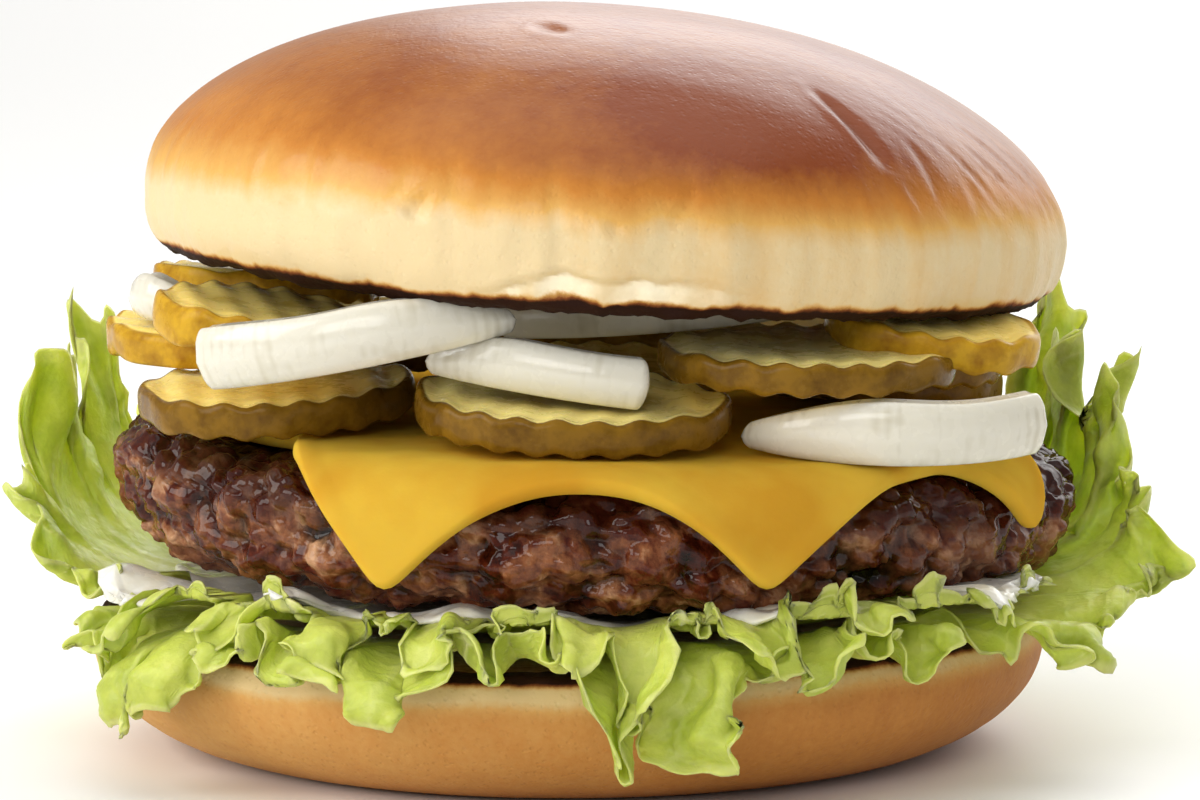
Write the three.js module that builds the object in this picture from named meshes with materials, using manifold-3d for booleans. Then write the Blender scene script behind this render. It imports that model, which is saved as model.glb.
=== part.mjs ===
/**
 * A cheeseburger: beef, melted cheese, crinkle-cut pickles and onion in a round bun on ruffled lettuce.
 *
 * Millimetres, +Z up. The origin is the middle of the heel's flat underside; the heel is the lower
 * half of the bun and the crown is the upper one. The front is -Y and the right-hand side is +X.
 * An azimuth is an angle round the stack, in degrees, from the front towards the right.
 */
import * as THREE from "three";
import { mergeVertices } from "three/addons/utils/BufferGeometryUtils.js";
import Module from "manifold-3d";

const wasm = await Module();
wasm.setup();

// ---------------------------------------------------------------- driving dimensions

const GAP = 0.3; // left between pieces that touch

const HEEL = { baseRadius: 37.8, radius: 54.7, widest: 11.9, cutRadius: 53.4, height: 15.5, fullness: 1.85 };
const CROWN = { x: 4, y: 0, radius: 52.8, widest: 5.8, cutRadius: 48.9, height: 29.8, fullness: 2.04, hollow: 2.3, lean: 3, roll: 2.9 };
const PATTY = { x: 2.7, radius: 55.7, flatRadius: 45, thickness: 14.3, roll: 1.4, bottom: 21.2, cragSize: 7.5, cragDepth: 2.1, curl: 2 };
const CHEESE = { thickness: 1.7, bendRadius: 6.5, hangAngle: 82, clearance: 0.9 };
const LEAF = { thickness: 0.8, rootRadius: 41, rootHeight: 16.6, layer: 1.55, folds: 27, foldDepth: 2.6, foldLean: 1.5 };
const SAUCE = { thickness: 0.6, layer: 1.9 };
const PICKLE = { thickness: 3.6, ridgePitch: 4.1, ridgeDepth: 0.3 };
const ONION = { wall: 3.2, bulge: 1.1 };

// The cheese's corners and the hollows between them, round the patty:
// [azimuth, distance from the middle along the sheet, how sharply the corner there or next stands out].
const CHEESE_EDGE = [
  [-20.8, 68, 2.1], [0, 55.3, 2.1], [17.9, 66, 1.8], [46, 51.5, 1.2], [57, 61.5, 1.3], [66, 49, 3],
  [130, 62, 1.8], [144, 54, 1.8], [160, 67, 1.8], [178, 55, 1.8], [200, 65, 1.6], [224, 53, 1.6],
  [247, 56, 1.4], [272, 44, 1], [315, 44, 1], [322, 51, 1.1],
];

// The salad's margin: [azimuth, knee radius, knee height, margin radius, margin height].
const MARGIN = [
  [-90, 59, 18, 63.5, 30], [-80, 57, 18.5, 58, 23], [-71, 60, 19.5, 56.5, 13], [-60, 61, 19.5, 61, 8], [-45, 61, 19.5, 61, 11],
  [-32, 61, 19.5, 62, 13], [-26, 61, 19.5, 62, 16], [-20, 61, 19.5, 61, 11], [-12, 61, 19.5, 62, 15.5],
  [-5, 61, 19.5, 63, 15.5], [2, 61, 19.5, 62, 9.5], [12, 61, 19.5, 62, 9], [20, 61, 19.5, 63, 16],
  [32, 61, 19.5, 63, 17], [42, 61, 19.5, 63, 15], [50, 62, 19, 64, 14], [60, 64, 19, 64, 11], [68, 65, 18.5, 65, 16],
  [78, 67, 18, 70, 21], [90, 67, 17, 69, 30], [104, 66, 17, 66.5, 41], [117, 67, 17, 68, 48], [132, 66, 17, 66, 40],
  [150, 63, 18, 66, 22], [170, 61, 19.5, 64, 13], [190, 61, 19.5, 64, 11], [212, 63, 18, 66, 22],
  [230, 66, 17, 66, 42], [246, 66, 17, 67.5, 48], [258, 64, 16, 63.5, 40],
];

// The leaves: the lower ones first, then the one laid over them.
const LEAVES = [
  { name: "lettuce_left", from: -128, to: -79, layer: 0, reach: 1, columns: 24 },
  { name: "lettuce_under", from: -72, to: 46, layer: 0, reach: 1, columns: 54 },
  { name: "lettuce_right", from: 49, to: 136, layer: 0, reach: 1, columns: 40 },
  { name: "lettuce_behind", from: 139, to: 229, layer: 0, reach: 1, columns: 36 },
  { name: "lettuce_front", from: -66, to: 64, layer: 1, reach: 0.8, columns: 60 },
];

// How far the sauce runs out along the salad: [azimuth, share of the leaf].
const SAUCE_EDGE = [
  [-78, 0.1], [-70, 0.15], [-61, 0.4], [-54, 0.38], [-46, 0.22], [-38, 0.26], [-34, 0.52], [-29, 0.26], [-20, 0.4],
  [-8, 0.34], [4, 0.4], [11, 0.24], [18, 0.42], [26, 0.36], [32, 0.16], [44, 0.16], [51, 0.5], [61, 0.54], [69, 0.16],
  [84, 0.08], [135, 0.08], [180, 0.3], [240, 0.08],
];

// Toppings in the order they are laid on. x and y place the middle; lean tips the front down, roll the
// right-hand side down, and turn is about the upright. Sizes are radii, spans are in degrees, and ends
// are the shares of its height that an onion keeps at its two ends. A pickle may have its own thickness.
const TOPPINGS = [
  { kind: "pickle", name: "pickle_left", x: -31.9, y: -22.5, radius: 15.2, lean: 4, roll: -1.5, turn: 8 },
  { kind: "pickle", name: "pickle_front", x: 0.5, y: -36.5, radius: 16.6, lean: 5.5, roll: 3, turn: -4 },
  { kind: "onion", name: "onion_right", x: 34.6, y: -24.8, radius: 21, span: 94, lean: 8, roll: 1, turn: 0, height: 5.4, ends: [0.45, 0.75] },
  { kind: "pickle", name: "pickle_back", x: 8, y: 35, radius: 16, lean: -3, roll: 0, turn: 5 },
  { kind: "pickle", name: "pickle_back_left", x: -29, y: 22, radius: 15, lean: -2, roll: -3, turn: 70 },
  { kind: "pickle", name: "pickle_back_right", x: 37, y: 16, radius: 14.5, lean: -1, roll: 3, turn: 50 },
  { kind: "pickle", name: "pickle_middle", x: 2, y: -1, radius: 15.5, lean: -17, roll: 0, turn: -12, thickness: 3.4 },
  { kind: "pickle", name: "pickle_middle_right", x: 36, y: -4, radius: 13.5, lean: 2, roll: 2, turn: 30, thickness: 3.4 },
  { kind: "pickle", name: "pickle_far_left", x: -38.5, y: -5, radius: 13.5, lean: 4, roll: -1, turn: 60 },
  { kind: "onion", name: "onion_far_left", x: -38.5, y: -6, radius: 9.5, span: 60, lean: 4, roll: 0, turn: -52, height: 4.6, ends: [0.6, 0.7] },
  { kind: "onion", name: "onion_middle", x: 3.4, y: -18, radius: 28, span: 50, lean: 2, roll: 8, turn: -14, height: 4.1, ends: [0.45, 0.95] },
  { kind: "pickle", name: "pickle_right", x: 25.7, y: -33.5, radius: 15.8, lean: 3.5, roll: 2, turn: 5, thickness: 3.2 },
  { kind: "onion", name: "onion_left", x: -20, y: -22.6, radius: 24.5, span: 84, lean: 2, roll: -11.5, turn: -6, height: 5, ends: [0.95, 0.4] },
  { kind: "onion", name: "onion_inner", x: 9.7, y: -5, radius: 25, span: 84, lean: 2, roll: -4.5, turn: 0, height: 4.4, ends: [0.88, 0.4] },
  { kind: "onion", name: "onion_back_right", x: 22, y: 15, radius: 27, span: 100, lean: -2, roll: 2, turn: 150, height: 4, ends: [0.6, 0.8] },
  { kind: "onion", name: "onion_back_left", x: -21, y: 15, radius: 20, span: 110, lean: -2, roll: -2, turn: 222, height: 4.2, ends: [0.5, 0.9] },
  { kind: "pickle", name: "pickle_upper_left", x: -33, y: -26, radius: 12, lean: 6, roll: 12, turn: 14, thickness: 3.4 },
  { kind: "pickle", name: "pickle_upper_right", x: 40, y: -26.5, radius: 11.3, lean: 2.5, roll: 8, turn: 10, thickness: 2.8 },
  { kind: "pickle", name: "pickle_upper_far_left", x: -35, y: 8, radius: 13, lean: -2, roll: 3, turn: 40, thickness: 3 },
  { kind: "pickle", name: "pickle_upper_back", x: -17, y: 30, radius: 14.5, lean: -3, roll: -3, turn: 20, thickness: 3 },
  { kind: "pickle", name: "pickle_upper_back_right", x: 18, y: 30, radius: 14, lean: -2, roll: 2, turn: -15, thickness: 3 },
];

// ---------------------------------------------------------------- small helpers

const radians = THREE.MathUtils.degToRad;
const ease = (t) => t * t * (3 - 2 * t);

/** The point at a radius, azimuth in radians and height. */
const around = (radius, azimuth, z) =>
  new THREE.Vector3(radius * Math.sin(azimuth), -radius * Math.cos(azimuth), z);

/** A smooth unevenness round a circle: the sum of harmonics [waves, size, phase]. */
const uneven = (azimuth, harmonics) =>
  harmonics.reduce((sum, [waves, size, phase]) => sum + size * Math.cos(waves * azimuth + phase), 0);

/** Reads a table whose rows start with an azimuth in degrees, easing between rows and round the circle. */
function readRound(table, azimuth) {
  const degrees = THREE.MathUtils.euclideanModulo(THREE.MathUtils.radToDeg(azimuth) - table[0][0], 360);
  const offsets = table.map((row) => row[0] - table[0][0]);
  let low = offsets.length - 1;
  while (offsets[low] > degrees) low -= 1;
  const high = (low + 1) % table.length;
  const end = high === 0 ? 360 : offsets[high];
  const share = (degrees - offsets[low]) / (end - offsets[low]);
  return { low: table[low].slice(1), high: table[high].slice(1), share };
}

/** Reads a list of evenly spaced values at a share from 0 to 1 of its length. */
function readEven(values, share) {
  const at = share * (values.length - 1);
  const low = THREE.MathUtils.clamp(Math.floor(at), 0, values.length - 2);
  return THREE.MathUtils.lerp(values[low], values[low + 1], at - low);
}

/** A repeatable random number from 0 to 1 for a cell of a lattice. */
function cellRandom(i, j, k, salt) {
  const wave = Math.sin(i * 127.1 + j * 311.7 + k * 74.7 + salt * 53.3) * 43758.5453;
  return wave - Math.floor(wave);
}

/** How far a point is from the nearest of the crumbs scattered one to a cell, in cells. */
function crumbDistance(point, cellSize) {
  const cell = point.clone().divideScalar(cellSize);
  const corner = cell.clone().floor();
  let nearest = Infinity;
  for (let i = -1; i <= 1; i += 1)
    for (let j = -1; j <= 1; j += 1)
      for (let k = -1; k <= 1; k += 1) {
        const [x, y, z] = [corner.x + i, corner.y + j, corner.z + k];
        const crumb = new THREE.Vector3(
          x + cellRandom(x, y, z, 1), y + cellRandom(x, y, z, 2), z + cellRandom(x, y, z, 3));
        nearest = Math.min(nearest, crumb.distanceTo(cell));
      }
  return nearest;
}

// ---------------------------------------------------------------- solid making

/** A body turned about Z from profile points [radius, height], each point then moved by reshape. */
function turned(profile, sectors, reshape) {
  const geometry = new THREE.LatheGeometry(profile.map(([r, z]) => new THREE.Vector2(r, z)), sectors);
  geometry.rotateX(Math.PI / 2);
  const positions = geometry.getAttribute("position");
  const point = new THREE.Vector3();
  for (let n = 0; n < positions.count; n += 1) {
    point.fromBufferAttribute(positions, n);
    reshape(point, Math.atan2(point.x, -point.y));
    positions.setXYZ(n, ...point);
  }
  geometry.computeVertexNormals();
  return geometry;
}

/**
 * A thin sheet as a closed solid. middle(u, v) gives its middle surface for u and v from 0 to 1, and
 * thickness is a number or a function of u and v. A round sheet closes on itself in u and has its
 * centre at v = 0. Both faces are split into triangles alike.
 */
function sheet(columns, rows, middle, thickness, round = false) {
  const thick = typeof thickness === "function" ? thickness : () => thickness;
  const STEP = 1e-3;
  const positions = [];
  const keys = new Map();
  const vertex = (side, i, j) => {
    const column = round ? (j === 0 ? 0 : i % columns) : i;
    const key = `${side},${column},${j}`;
    if (!keys.has(key)) {
      const [u, v] = [column / columns, j / rows];
      const at = Math.max(v, round ? STEP : 0);
      const across = middle(u + STEP, at).sub(middle(u - STEP, at));
      const along = middle(u, Math.min(at + STEP, 1)).sub(middle(u, Math.max(at - STEP, 0)));
      const normal = j === 0 && round ? new THREE.Vector3(0, 0, -1) : across.cross(along).normalize();
      positions.push(...middle(u, v).addScaledVector(normal, (side * thick(u, v)) / 2));
      keys.set(key, keys.size);
    }
    return keys.get(key);
  };
  const index = [];
  const triangle = (a, b, c) => {
    if (a !== b && b !== c && a !== c) index.push(a, b, c);
  };
  const quad = (a, b, c, d) => {
    triangle(a, b, c);
    triangle(a, c, d);
  };
  for (let i = 0; i < columns; i += 1)
    for (let j = 0; j < rows; j += 1) {
      quad(vertex(1, i, j), vertex(1, i + 1, j), vertex(1, i + 1, j + 1), vertex(1, i, j + 1));
      quad(vertex(-1, i, j), vertex(-1, i, j + 1), vertex(-1, i + 1, j + 1), vertex(-1, i + 1, j));
    }
  for (let i = 0; i < columns; i += 1) {
    quad(vertex(1, i, rows), vertex(1, i + 1, rows), vertex(-1, i + 1, rows), vertex(-1, i, rows));
    if (!round) quad(vertex(-1, i, 0), vertex(-1, i + 1, 0), vertex(1, i + 1, 0), vertex(1, i, 0));
  }
  for (let j = 0; j < rows && !round; j += 1) {
    quad(vertex(1, 0, j), vertex(1, 0, j + 1), vertex(-1, 0, j + 1), vertex(-1, 0, j));
    quad(vertex(-1, columns, j), vertex(-1, columns, j + 1), vertex(1, columns, j + 1), vertex(1, columns, j));
  }
  const geometry = new THREE.BufferGeometry();
  geometry.setAttribute("position", new THREE.Float32BufferAttribute(positions, 3));
  geometry.setIndex(index);
  geometry.computeVertexNormals();
  return geometry;
}

/** The manifold-3d solid of a closed geometry. */
function solidOf(geometry) {
  const bare = geometry.clone();
  bare.deleteAttribute("normal");
  bare.deleteAttribute("uv");
  const merged = mergeVertices(bare, 1e-4);
  return new wasm.Manifold(new wasm.Mesh({
    numProp: 3,
    vertProperties: new Float32Array(merged.getAttribute("position").array),
    triVerts: new Uint32Array(merged.getIndex().array),
  }));
}

/** The geometry of a manifold-3d solid. */
function geometryOf(solid) {
  const mesh = solid.getMesh();
  const geometry = new THREE.BufferGeometry();
  geometry.setAttribute("position", new THREE.BufferAttribute(mesh.vertProperties, 3));
  geometry.setIndex(new THREE.BufferAttribute(mesh.triVerts, 1));
  geometry.computeVertexNormals();
  return geometry;
}

// ---------------------------------------------------------------- the bun

/** Points of a quarter of a superellipse from the end at 0 to the end at 1, each as [across, up] shares. */
function quarterCurve(steps, power) {
  return Array.from({ length: steps + 1 }, (_, n) => {
    const angle = (n / steps) * (Math.PI / 2);
    return n === steps ? [0, 1] : [Math.cos(angle) ** (2 / power), Math.sin(angle) ** (2 / power)];
  });
}

const BUN_OUTLINE = [[2, 0.006, 0.4], [3, 0.005, 1.9], [5, 0.003, 0.7]];

/** The lower half: a flat base, a round-bottomed side, and the toasted cut face on top. */
function heel() {
  const { baseRadius, radius, widest, cutRadius, height, fullness } = HEEL;
  const side = quarterCurve(6, fullness).reverse().map(([across, up]) =>
    [baseRadius + (radius - baseRadius) * across, widest * (1 - up)]);
  const profile = [
    [0, 0], ...side, [radius - 0.1, widest + 0.45 * (height - widest)], [cutRadius, height], [0, height],
  ];
  return turned(profile, 48, (p, azimuth) => {
    const swell = 1 + uneven(azimuth, BUN_OUTLINE) * (p.z / height);
    p.set(p.x * swell, p.y * swell, p.z);
  });
}

/** The upper half: a toasted underside pressed in a little, a rolled-under lip and a full dome. */
function crown() {
  const { radius, widest, cutRadius, height, fullness, hollow, lean } = CROWN;
  const lip = quarterCurve(3, 2).reverse().map(([across, up]) =>
    [cutRadius + (radius - cutRadius) * across, widest * (1 - up)]);
  const dome = quarterCurve(9, fullness).slice(1).map(([across, up]) =>
    [radius * across, widest + (height - widest) * up]);
  return turned([[0, hollow], [cutRadius - 8, hollow * 0.85], ...lip, ...dome], 48, (p, azimuth) => {
    const swell = 1 + uneven(azimuth, BUN_OUTLINE) * 0.8;
    const shift = (lean * Math.max(p.z - widest, 0)) / (height - widest);
    p.set(p.x * swell - shift, p.y * swell, p.z);
  });
}

// ---------------------------------------------------------------- patty and cheese

/** The patty's radius at an azimuth, before its crags. */
const pattyRadius = (azimuth) =>
  PATTY.radius * (1 + uneven(azimuth, [[2, 0.008, 1.2], [3, 0.007, 0.3], [7, 0.004, 2.1]]));

/** A coarse-ground patty: crags are cut inwards from a smooth envelope, so it never outgrows it. */
function patty() {
  const { radius, flatRadius, thickness, cragSize, cragDepth, curl } = PATTY;
  const round = radius - flatRadius;
  const under = quarterCurve(6, 2).reverse().map(([across, up]) =>
    [flatRadius + round * across, 0.62 * thickness * (1 - up)]);
  const over = quarterCurve(5, 2).slice(1).map(([across, up]) =>
    [flatRadius + 4 + (round - 4) * across, thickness * (0.62 + 0.38 * up)]);
  const profile = [[0, 0], [flatRadius * 0.6, 0], ...under, ...over, [flatRadius * 0.6, thickness], [0, thickness]];
  return turned(profile, 84, (p, azimuth) => {
    const spread = pattyRadius(azimuth) / radius;
    const depth = cragDepth * Math.min(1.25 * crumbDistance(p, cragSize) ** 1.5, 1.2);
    const shy = 1 - depth / Math.hypot(p.x, p.y, 1);
    const level = (p.z / thickness - 0.5) * 2;
    const curled = curl * ease(THREE.MathUtils.clamp((Math.hypot(p.x, p.y) - 46) / 7, 0, 1))
      * Math.max(Math.cos(azimuth + radians(78)), 0) ** 5;
    p.set(p.x * spread * shy, p.y * spread * shy, p.z - level * depth * 0.6 + curled);
  });
}

/** How far the cheese reaches from its middle at an azimuth: cusps at its corners, hollows between. */
function cheeseReach(azimuth) {
  const { low, high, share } = readRound(CHEESE_EDGE, azimuth);
  const [corner, hollow] = low[0] > high[0] ? [low[0], high[0]] : [high[0], low[0]];
  const near = low[0] > high[0] ? 1 - share : share;
  return hollow + (corner - hollow) * near ** low[1];
}

/** The point of the draped cheese at an azimuth and a distance along the sheet. */
function drape(azimuth, distance) {
  const { thickness, bendRadius, hangAngle, clearance } = CHEESE;
  const top = PATTY.thickness + GAP + thickness / 2;
  const bendStart = pattyRadius(azimuth) + clearance + thickness / 2 - bendRadius;
  const bent = THREE.MathUtils.clamp((distance - bendStart) / bendRadius, 0, radians(hangAngle));
  const hung = Math.max(distance - bendStart - bendRadius * radians(hangAngle), 0);
  const r = Math.min(distance, bendStart) + bendRadius * Math.sin(bent) + hung * Math.cos(radians(hangAngle));
  const z = top - bendRadius * (1 - Math.cos(bent)) - hung * Math.sin(radians(hangAngle));
  return around(r, azimuth, z);
}

/** The melted slices: flat on the patty, bent over its rim, with their corners hanging down the side. */
function cheese() {
  const RINGS = 5;
  const FLAT = 50; // the first ring out from the middle; the others share the way from there to the edge
  const COLUMNS_EACH = 4; // between one corner and the next hollow
  const starts = [...CHEESE_EDGE.map(([azimuth]) => azimuth), CHEESE_EDGE[0][0] + 360];
  return sheet(COLUMNS_EACH * CHEESE_EDGE.length, RINGS, (u, v) => {
    const azimuth = radians(readEven(starts, THREE.MathUtils.euclideanModulo(u, 1)));
    const reach = cheeseReach(azimuth);
    const first = Math.min(FLAT, 0.92 * reach);
    const ring = v * RINGS;
    return drape(azimuth, ring < 1 ? ring * first : THREE.MathUtils.lerp(first, reach, (ring - 1) / (RINGS - 1)));
  }, CHEESE.thickness, true);
}

// ---------------------------------------------------------------- salad and sauce

/**
 * The middle surface of the salad: a skirt that runs out from under the patty and ends in a ruffled
 * margin. along is 0 at the root and 1 at the margin; layer counts the leaves beneath.
 */
function skirt(azimuth, along, layer) {
  const { low, high, share } = readRound(MARGIN, azimuth);
  const [kneeR, kneeZ, marginR, marginZ] = low.map((value, n) => THREE.MathUtils.lerp(value, high[n], ease(share)));
  const root = new THREE.Vector2(LEAF.rootRadius, LEAF.rootHeight);
  const path = new THREE.QuadraticBezierCurve(root, new THREE.Vector2(kneeR, kneeZ), new THREE.Vector2(marginR, marginZ));
  const t = Math.max(along, 0);
  const { x: r, y: z } = path.getPoint(t);
  const { x: outward, y: upward } = path.getTangent(THREE.MathUtils.clamp(t, 1e-3, 1 - 1e-3));
  const phase = LEAF.folds * azimuth + 1.4 * Math.sin(3 * azimuth + 0.7) + 0.9 * Math.sin(7 * azimuth + 2);
  const depth = LEAF.foldDepth * t ** 1.15 * (0.8 + 0.2 * Math.sin(5 * azimuth + 1));
  const off = depth * Math.sin(phase) + layer * LEAF.layer;
  const lean = (LEAF.foldLean * t ** 1.6 * Math.sin(2 * phase)) / r;
  return around(r - upward * off, azimuth + lean, z + outward * off);
}

/** One leaf: a stretch of the skirt whose ends are rounded off and whose margin is toothed. */
function leaf({ from, to, layer, reach, columns }) {
  const ROWS = 3;
  return sheet(columns, ROWS, (u, v) => {
    const azimuth = radians(THREE.MathUtils.lerp(from, to, u));
    const ends = 1 - 0.45 * (Math.abs(2 * u - 1) ** 8);
    const teeth = 1 - 0.07 * (0.5 + 0.5 * Math.sin(2.3 * LEAF.folds * azimuth + 1));
    return skirt(azimuth, v ** 0.8 * reach * ends * teeth, layer);
  }, LEAF.thickness);
}

/** The sauce spread over the salad, with runs that come out along its folds. */
function sauce() {
  const { thickness, layer } = SAUCE;
  return sheet(60, 3, (u, v) => {
    const azimuth = u * 2 * Math.PI;
    const { low, high, share } = readRound(SAUCE_EDGE, azimuth);
    const run = THREE.MathUtils.lerp(low[0], high[0], ease(share));
    const [inner, outer] = [v * 3, (v * 3 - 1) / 2];
    if (inner >= 1) return skirt(azimuth, outer * run, layer);
    return skirt(azimuth, 0, layer).multiply(new THREE.Vector3(inner, inner, 1));
  }, thickness, true);
}

// ---------------------------------------------------------------- toppings

/** A crinkle-cut slice: a slab between two wavy cuts, trimmed to the pickle's uneven outline. */
function pickle({ radius, name, thickness = PICKLE.thickness }) {
  const { ridgePitch, ridgeDepth } = PICKLE;
  const RIM_POINTS = 22;
  const steps = 2 * Math.ceil((2 * (radius + 1)) / ridgePitch);
  const cut = (level) => Array.from({ length: steps + 1 }, (_, n) =>
    new THREE.Vector2(((n - steps / 2) * ridgePitch) / 2, level + (n % 2 ? ridgeDepth : -ridgeDepth)));
  const slabFace = new THREE.Shape([...cut(-thickness / 2), ...cut(thickness / 2).reverse()]);
  const slab = new THREE.ExtrudeGeometry(slabFace, { depth: 2 * radius + 4, bevelEnabled: false });
  slab.rotateX(Math.PI / 2).translate(0, radius + 2, 0);
  const rim = new THREE.Shape(Array.from({ length: RIM_POINTS }, (_, n) => {
    const angle = (n / RIM_POINTS) * 2 * Math.PI;
    const r = radius * (1 + uneven(angle, [[2, 0.025, name.length], [3, 0.02, 0.5 * name.length]]));
    return new THREE.Vector2(r * Math.cos(angle), r * Math.sin(angle));
  }));
  const core = new THREE.ExtrudeGeometry(rim, { depth: 2 * thickness, bevelEnabled: false });
  core.translate(0, 0, -thickness);
  return geometryOf(solidOf(slab).intersect(solidOf(core)));
}

/** A stretch of an onion ring: a curved wall, fuller in the middle of its height, thinner at its ends. */
function onion({ radius, span, height, ends }) {
  const taper = (u) => 1 - (1 - ends[u < 0.5 ? 0 : 1]) * (2 * u - 1) ** 2;
  return sheet(12, 2, (u, v) => {
    const azimuth = radians(span * (u - 0.5));
    const up = 2 * v - 1;
    return around(radius + ONION.bulge * (1 - up * up), azimuth, height * (v * taper(u) - 0.5));
  }, (u, v) => ONION.wall * taper(u) * (v === 0 || v === 1 ? 0.72 : 1));
}

/** The top of a growing pile, kept as heights on a square lattice, so that pieces can be laid on it. */
class Pile {
  constructor(pitch = 0.5, half = 80) {
    this.pitch = pitch;
    this.half = half;
    this.across = Math.round((2 * half) / pitch);
    this.tops = new Float32Array(this.across ** 2).fill(-Infinity);
  }

  /** The heights of a mesh's surface over each lattice point, the highest or the lowest of them. */
  heights(mesh, highest) {
    mesh.updateWorldMatrix(true, false);
    const geometry = mesh.geometry.index ? mesh.geometry.toNonIndexed() : mesh.geometry;
    const positions = geometry.getAttribute("position");
    const found = new Map();
    const [a, b, c] = [new THREE.Vector3(), new THREE.Vector3(), new THREE.Vector3()];
    const toCell = (value) => (value + this.half) / this.pitch;
    for (let n = 0; n < positions.count; n += 3) {
      [a, b, c].forEach((p, m) => p.fromBufferAttribute(positions, n + m).applyMatrix4(mesh.matrixWorld));
      const area = (b.x - a.x) * (c.y - a.y) - (c.x - a.x) * (b.y - a.y);
      if (Math.abs(area) < 1e-9) continue;
      const lowX = Math.ceil(toCell(Math.min(a.x, b.x, c.x)));
      const lowY = Math.ceil(toCell(Math.min(a.y, b.y, c.y)));
      for (let i = lowX; i <= toCell(Math.max(a.x, b.x, c.x)); i += 1)
        for (let j = lowY; j <= toCell(Math.max(a.y, b.y, c.y)); j += 1) {
          const [x, y] = [i * this.pitch - this.half, j * this.pitch - this.half];
          const shareB = ((x - a.x) * (c.y - a.y) - (c.x - a.x) * (y - a.y)) / area;
          const shareC = ((b.x - a.x) * (y - a.y) - (x - a.x) * (b.y - a.y)) / area;
          if (shareB < 0 || shareC < 0 || shareB + shareC > 1) continue;
          const z = a.z + shareB * (b.z - a.z) + shareC * (c.z - a.z);
          const cell = i * this.across + j;
          const known = found.get(cell);
          if (known === undefined || (highest ? z > known : z < known)) found.set(cell, z);
        }
    }
    return found;
  }

  /** Counts a mesh that is already in place as part of the pile. */
  add(mesh) {
    for (const [cell, z] of this.heights(mesh, true)) this.tops[cell] = Math.max(this.tops[cell], z);
  }

  /** Lowers or lifts a mesh until it just rests on the pile, and adds it. */
  lay(mesh) {
    let lift = -Infinity;
    for (const [cell, z] of this.heights(mesh, false)) lift = Math.max(lift, this.tops[cell] - z);
    mesh.position.z += lift + GAP;
    this.add(mesh);
  }
}

// ---------------------------------------------------------------- finishes and assembly

const finish = (color, roughness) => new THREE.MeshStandardMaterial({ color, roughness, metalness: 0 });
const FINISH = {
  crust: finish(0xbe7936, 0.35),
  beef: finish(0x5a2c18, 0.4),
  cheese: finish(0xeab03a, 0.35),
  lettuce: finish(0x9fb43c, 0.45),
  sauce: finish(0xe9e6d8, 0.3),
  pickle: finish(0x9a7a24, 0.3),
  onion: finish(0xeeeadb, 0.3),
};

const burger = new THREE.Group();
const stack = new THREE.Group(); // what leans a little to the right: patty and cheese
stack.position.set(PATTY.x, 0, PATTY.bottom);
stack.rotation.y = radians(PATTY.roll);
burger.add(stack);

/** Makes a named piece and puts it in a group. */
function piece(name, geometry, material, group = burger) {
  const mesh = new THREE.Mesh(geometry, material);
  mesh.name = name;
  group.add(mesh);
  return mesh;
}

piece("heel", heel(), FINISH.crust);
LEAVES.forEach((one) => piece(one.name, leaf(one), FINISH.lettuce));
piece("sauce", sauce(), FINISH.sauce);

const pile = new Pile();
pile.add(piece("patty", patty(), FINISH.beef, stack));
pile.add(piece("cheese", cheese(), FINISH.cheese, stack));

for (const topping of TOPPINGS) {
  const make = topping.kind === "pickle" ? pickle : onion;
  const mesh = piece(topping.name, make(topping), FINISH[topping.kind]);
  mesh.position.set(topping.x, topping.y, 0);
  mesh.rotation.set(radians(topping.lean), radians(topping.roll), radians(topping.turn));
  pile.lay(mesh);
}

const top = piece("crown", crown(), FINISH.crust);
top.position.set(CROWN.x, CROWN.y, 0);
top.rotation.y = radians(CROWN.roll);
pile.lay(top);

export default burger;
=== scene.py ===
"""A cheeseburger: the looks of every piece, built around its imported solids.

Sizes are in millimetres until a mesh is made, and the mesh is in metres. The origin is the middle of
the heel's flat underside, +Z is up, the front is -Y and the right-hand side is +X. An azimuth is an
angle round the stack from the front towards the right.

A skin is an array of points in rows and columns. Each row is a closed loop, and the two end rows are
closed with a fan. Masks are numbers from 0 to 1 for each point of a skin, which the finishes read.
"""

from __future__ import annotations

import logging
import math
from dataclasses import dataclass, field
from enum import Enum

import bpy
import numpy as np
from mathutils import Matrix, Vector

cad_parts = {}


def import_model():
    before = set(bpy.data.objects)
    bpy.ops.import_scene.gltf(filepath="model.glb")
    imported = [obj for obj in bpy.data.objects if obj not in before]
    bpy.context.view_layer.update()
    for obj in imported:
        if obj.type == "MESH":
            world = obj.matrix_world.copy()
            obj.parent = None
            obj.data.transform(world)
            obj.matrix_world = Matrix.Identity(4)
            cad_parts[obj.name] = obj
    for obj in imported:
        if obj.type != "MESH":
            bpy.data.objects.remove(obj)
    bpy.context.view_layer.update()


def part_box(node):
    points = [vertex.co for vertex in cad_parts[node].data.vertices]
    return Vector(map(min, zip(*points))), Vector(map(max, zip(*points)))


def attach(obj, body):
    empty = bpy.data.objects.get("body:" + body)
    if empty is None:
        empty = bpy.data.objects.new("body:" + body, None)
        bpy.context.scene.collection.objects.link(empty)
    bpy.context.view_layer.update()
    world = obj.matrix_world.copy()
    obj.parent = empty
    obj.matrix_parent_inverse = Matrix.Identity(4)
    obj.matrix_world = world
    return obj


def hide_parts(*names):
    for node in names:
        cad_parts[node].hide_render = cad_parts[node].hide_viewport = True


LOG = logging.getLogger("cheeseburger")
METRES = 0.001  # in a millimetre
Points = np.ndarray
Masks = dict[str, np.ndarray]
Rgb = tuple[float, float, float]
Socket = bpy.types.NodeSocket
Material = bpy.types.Material


# ------------------------------------------------------------------ numbers


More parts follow.
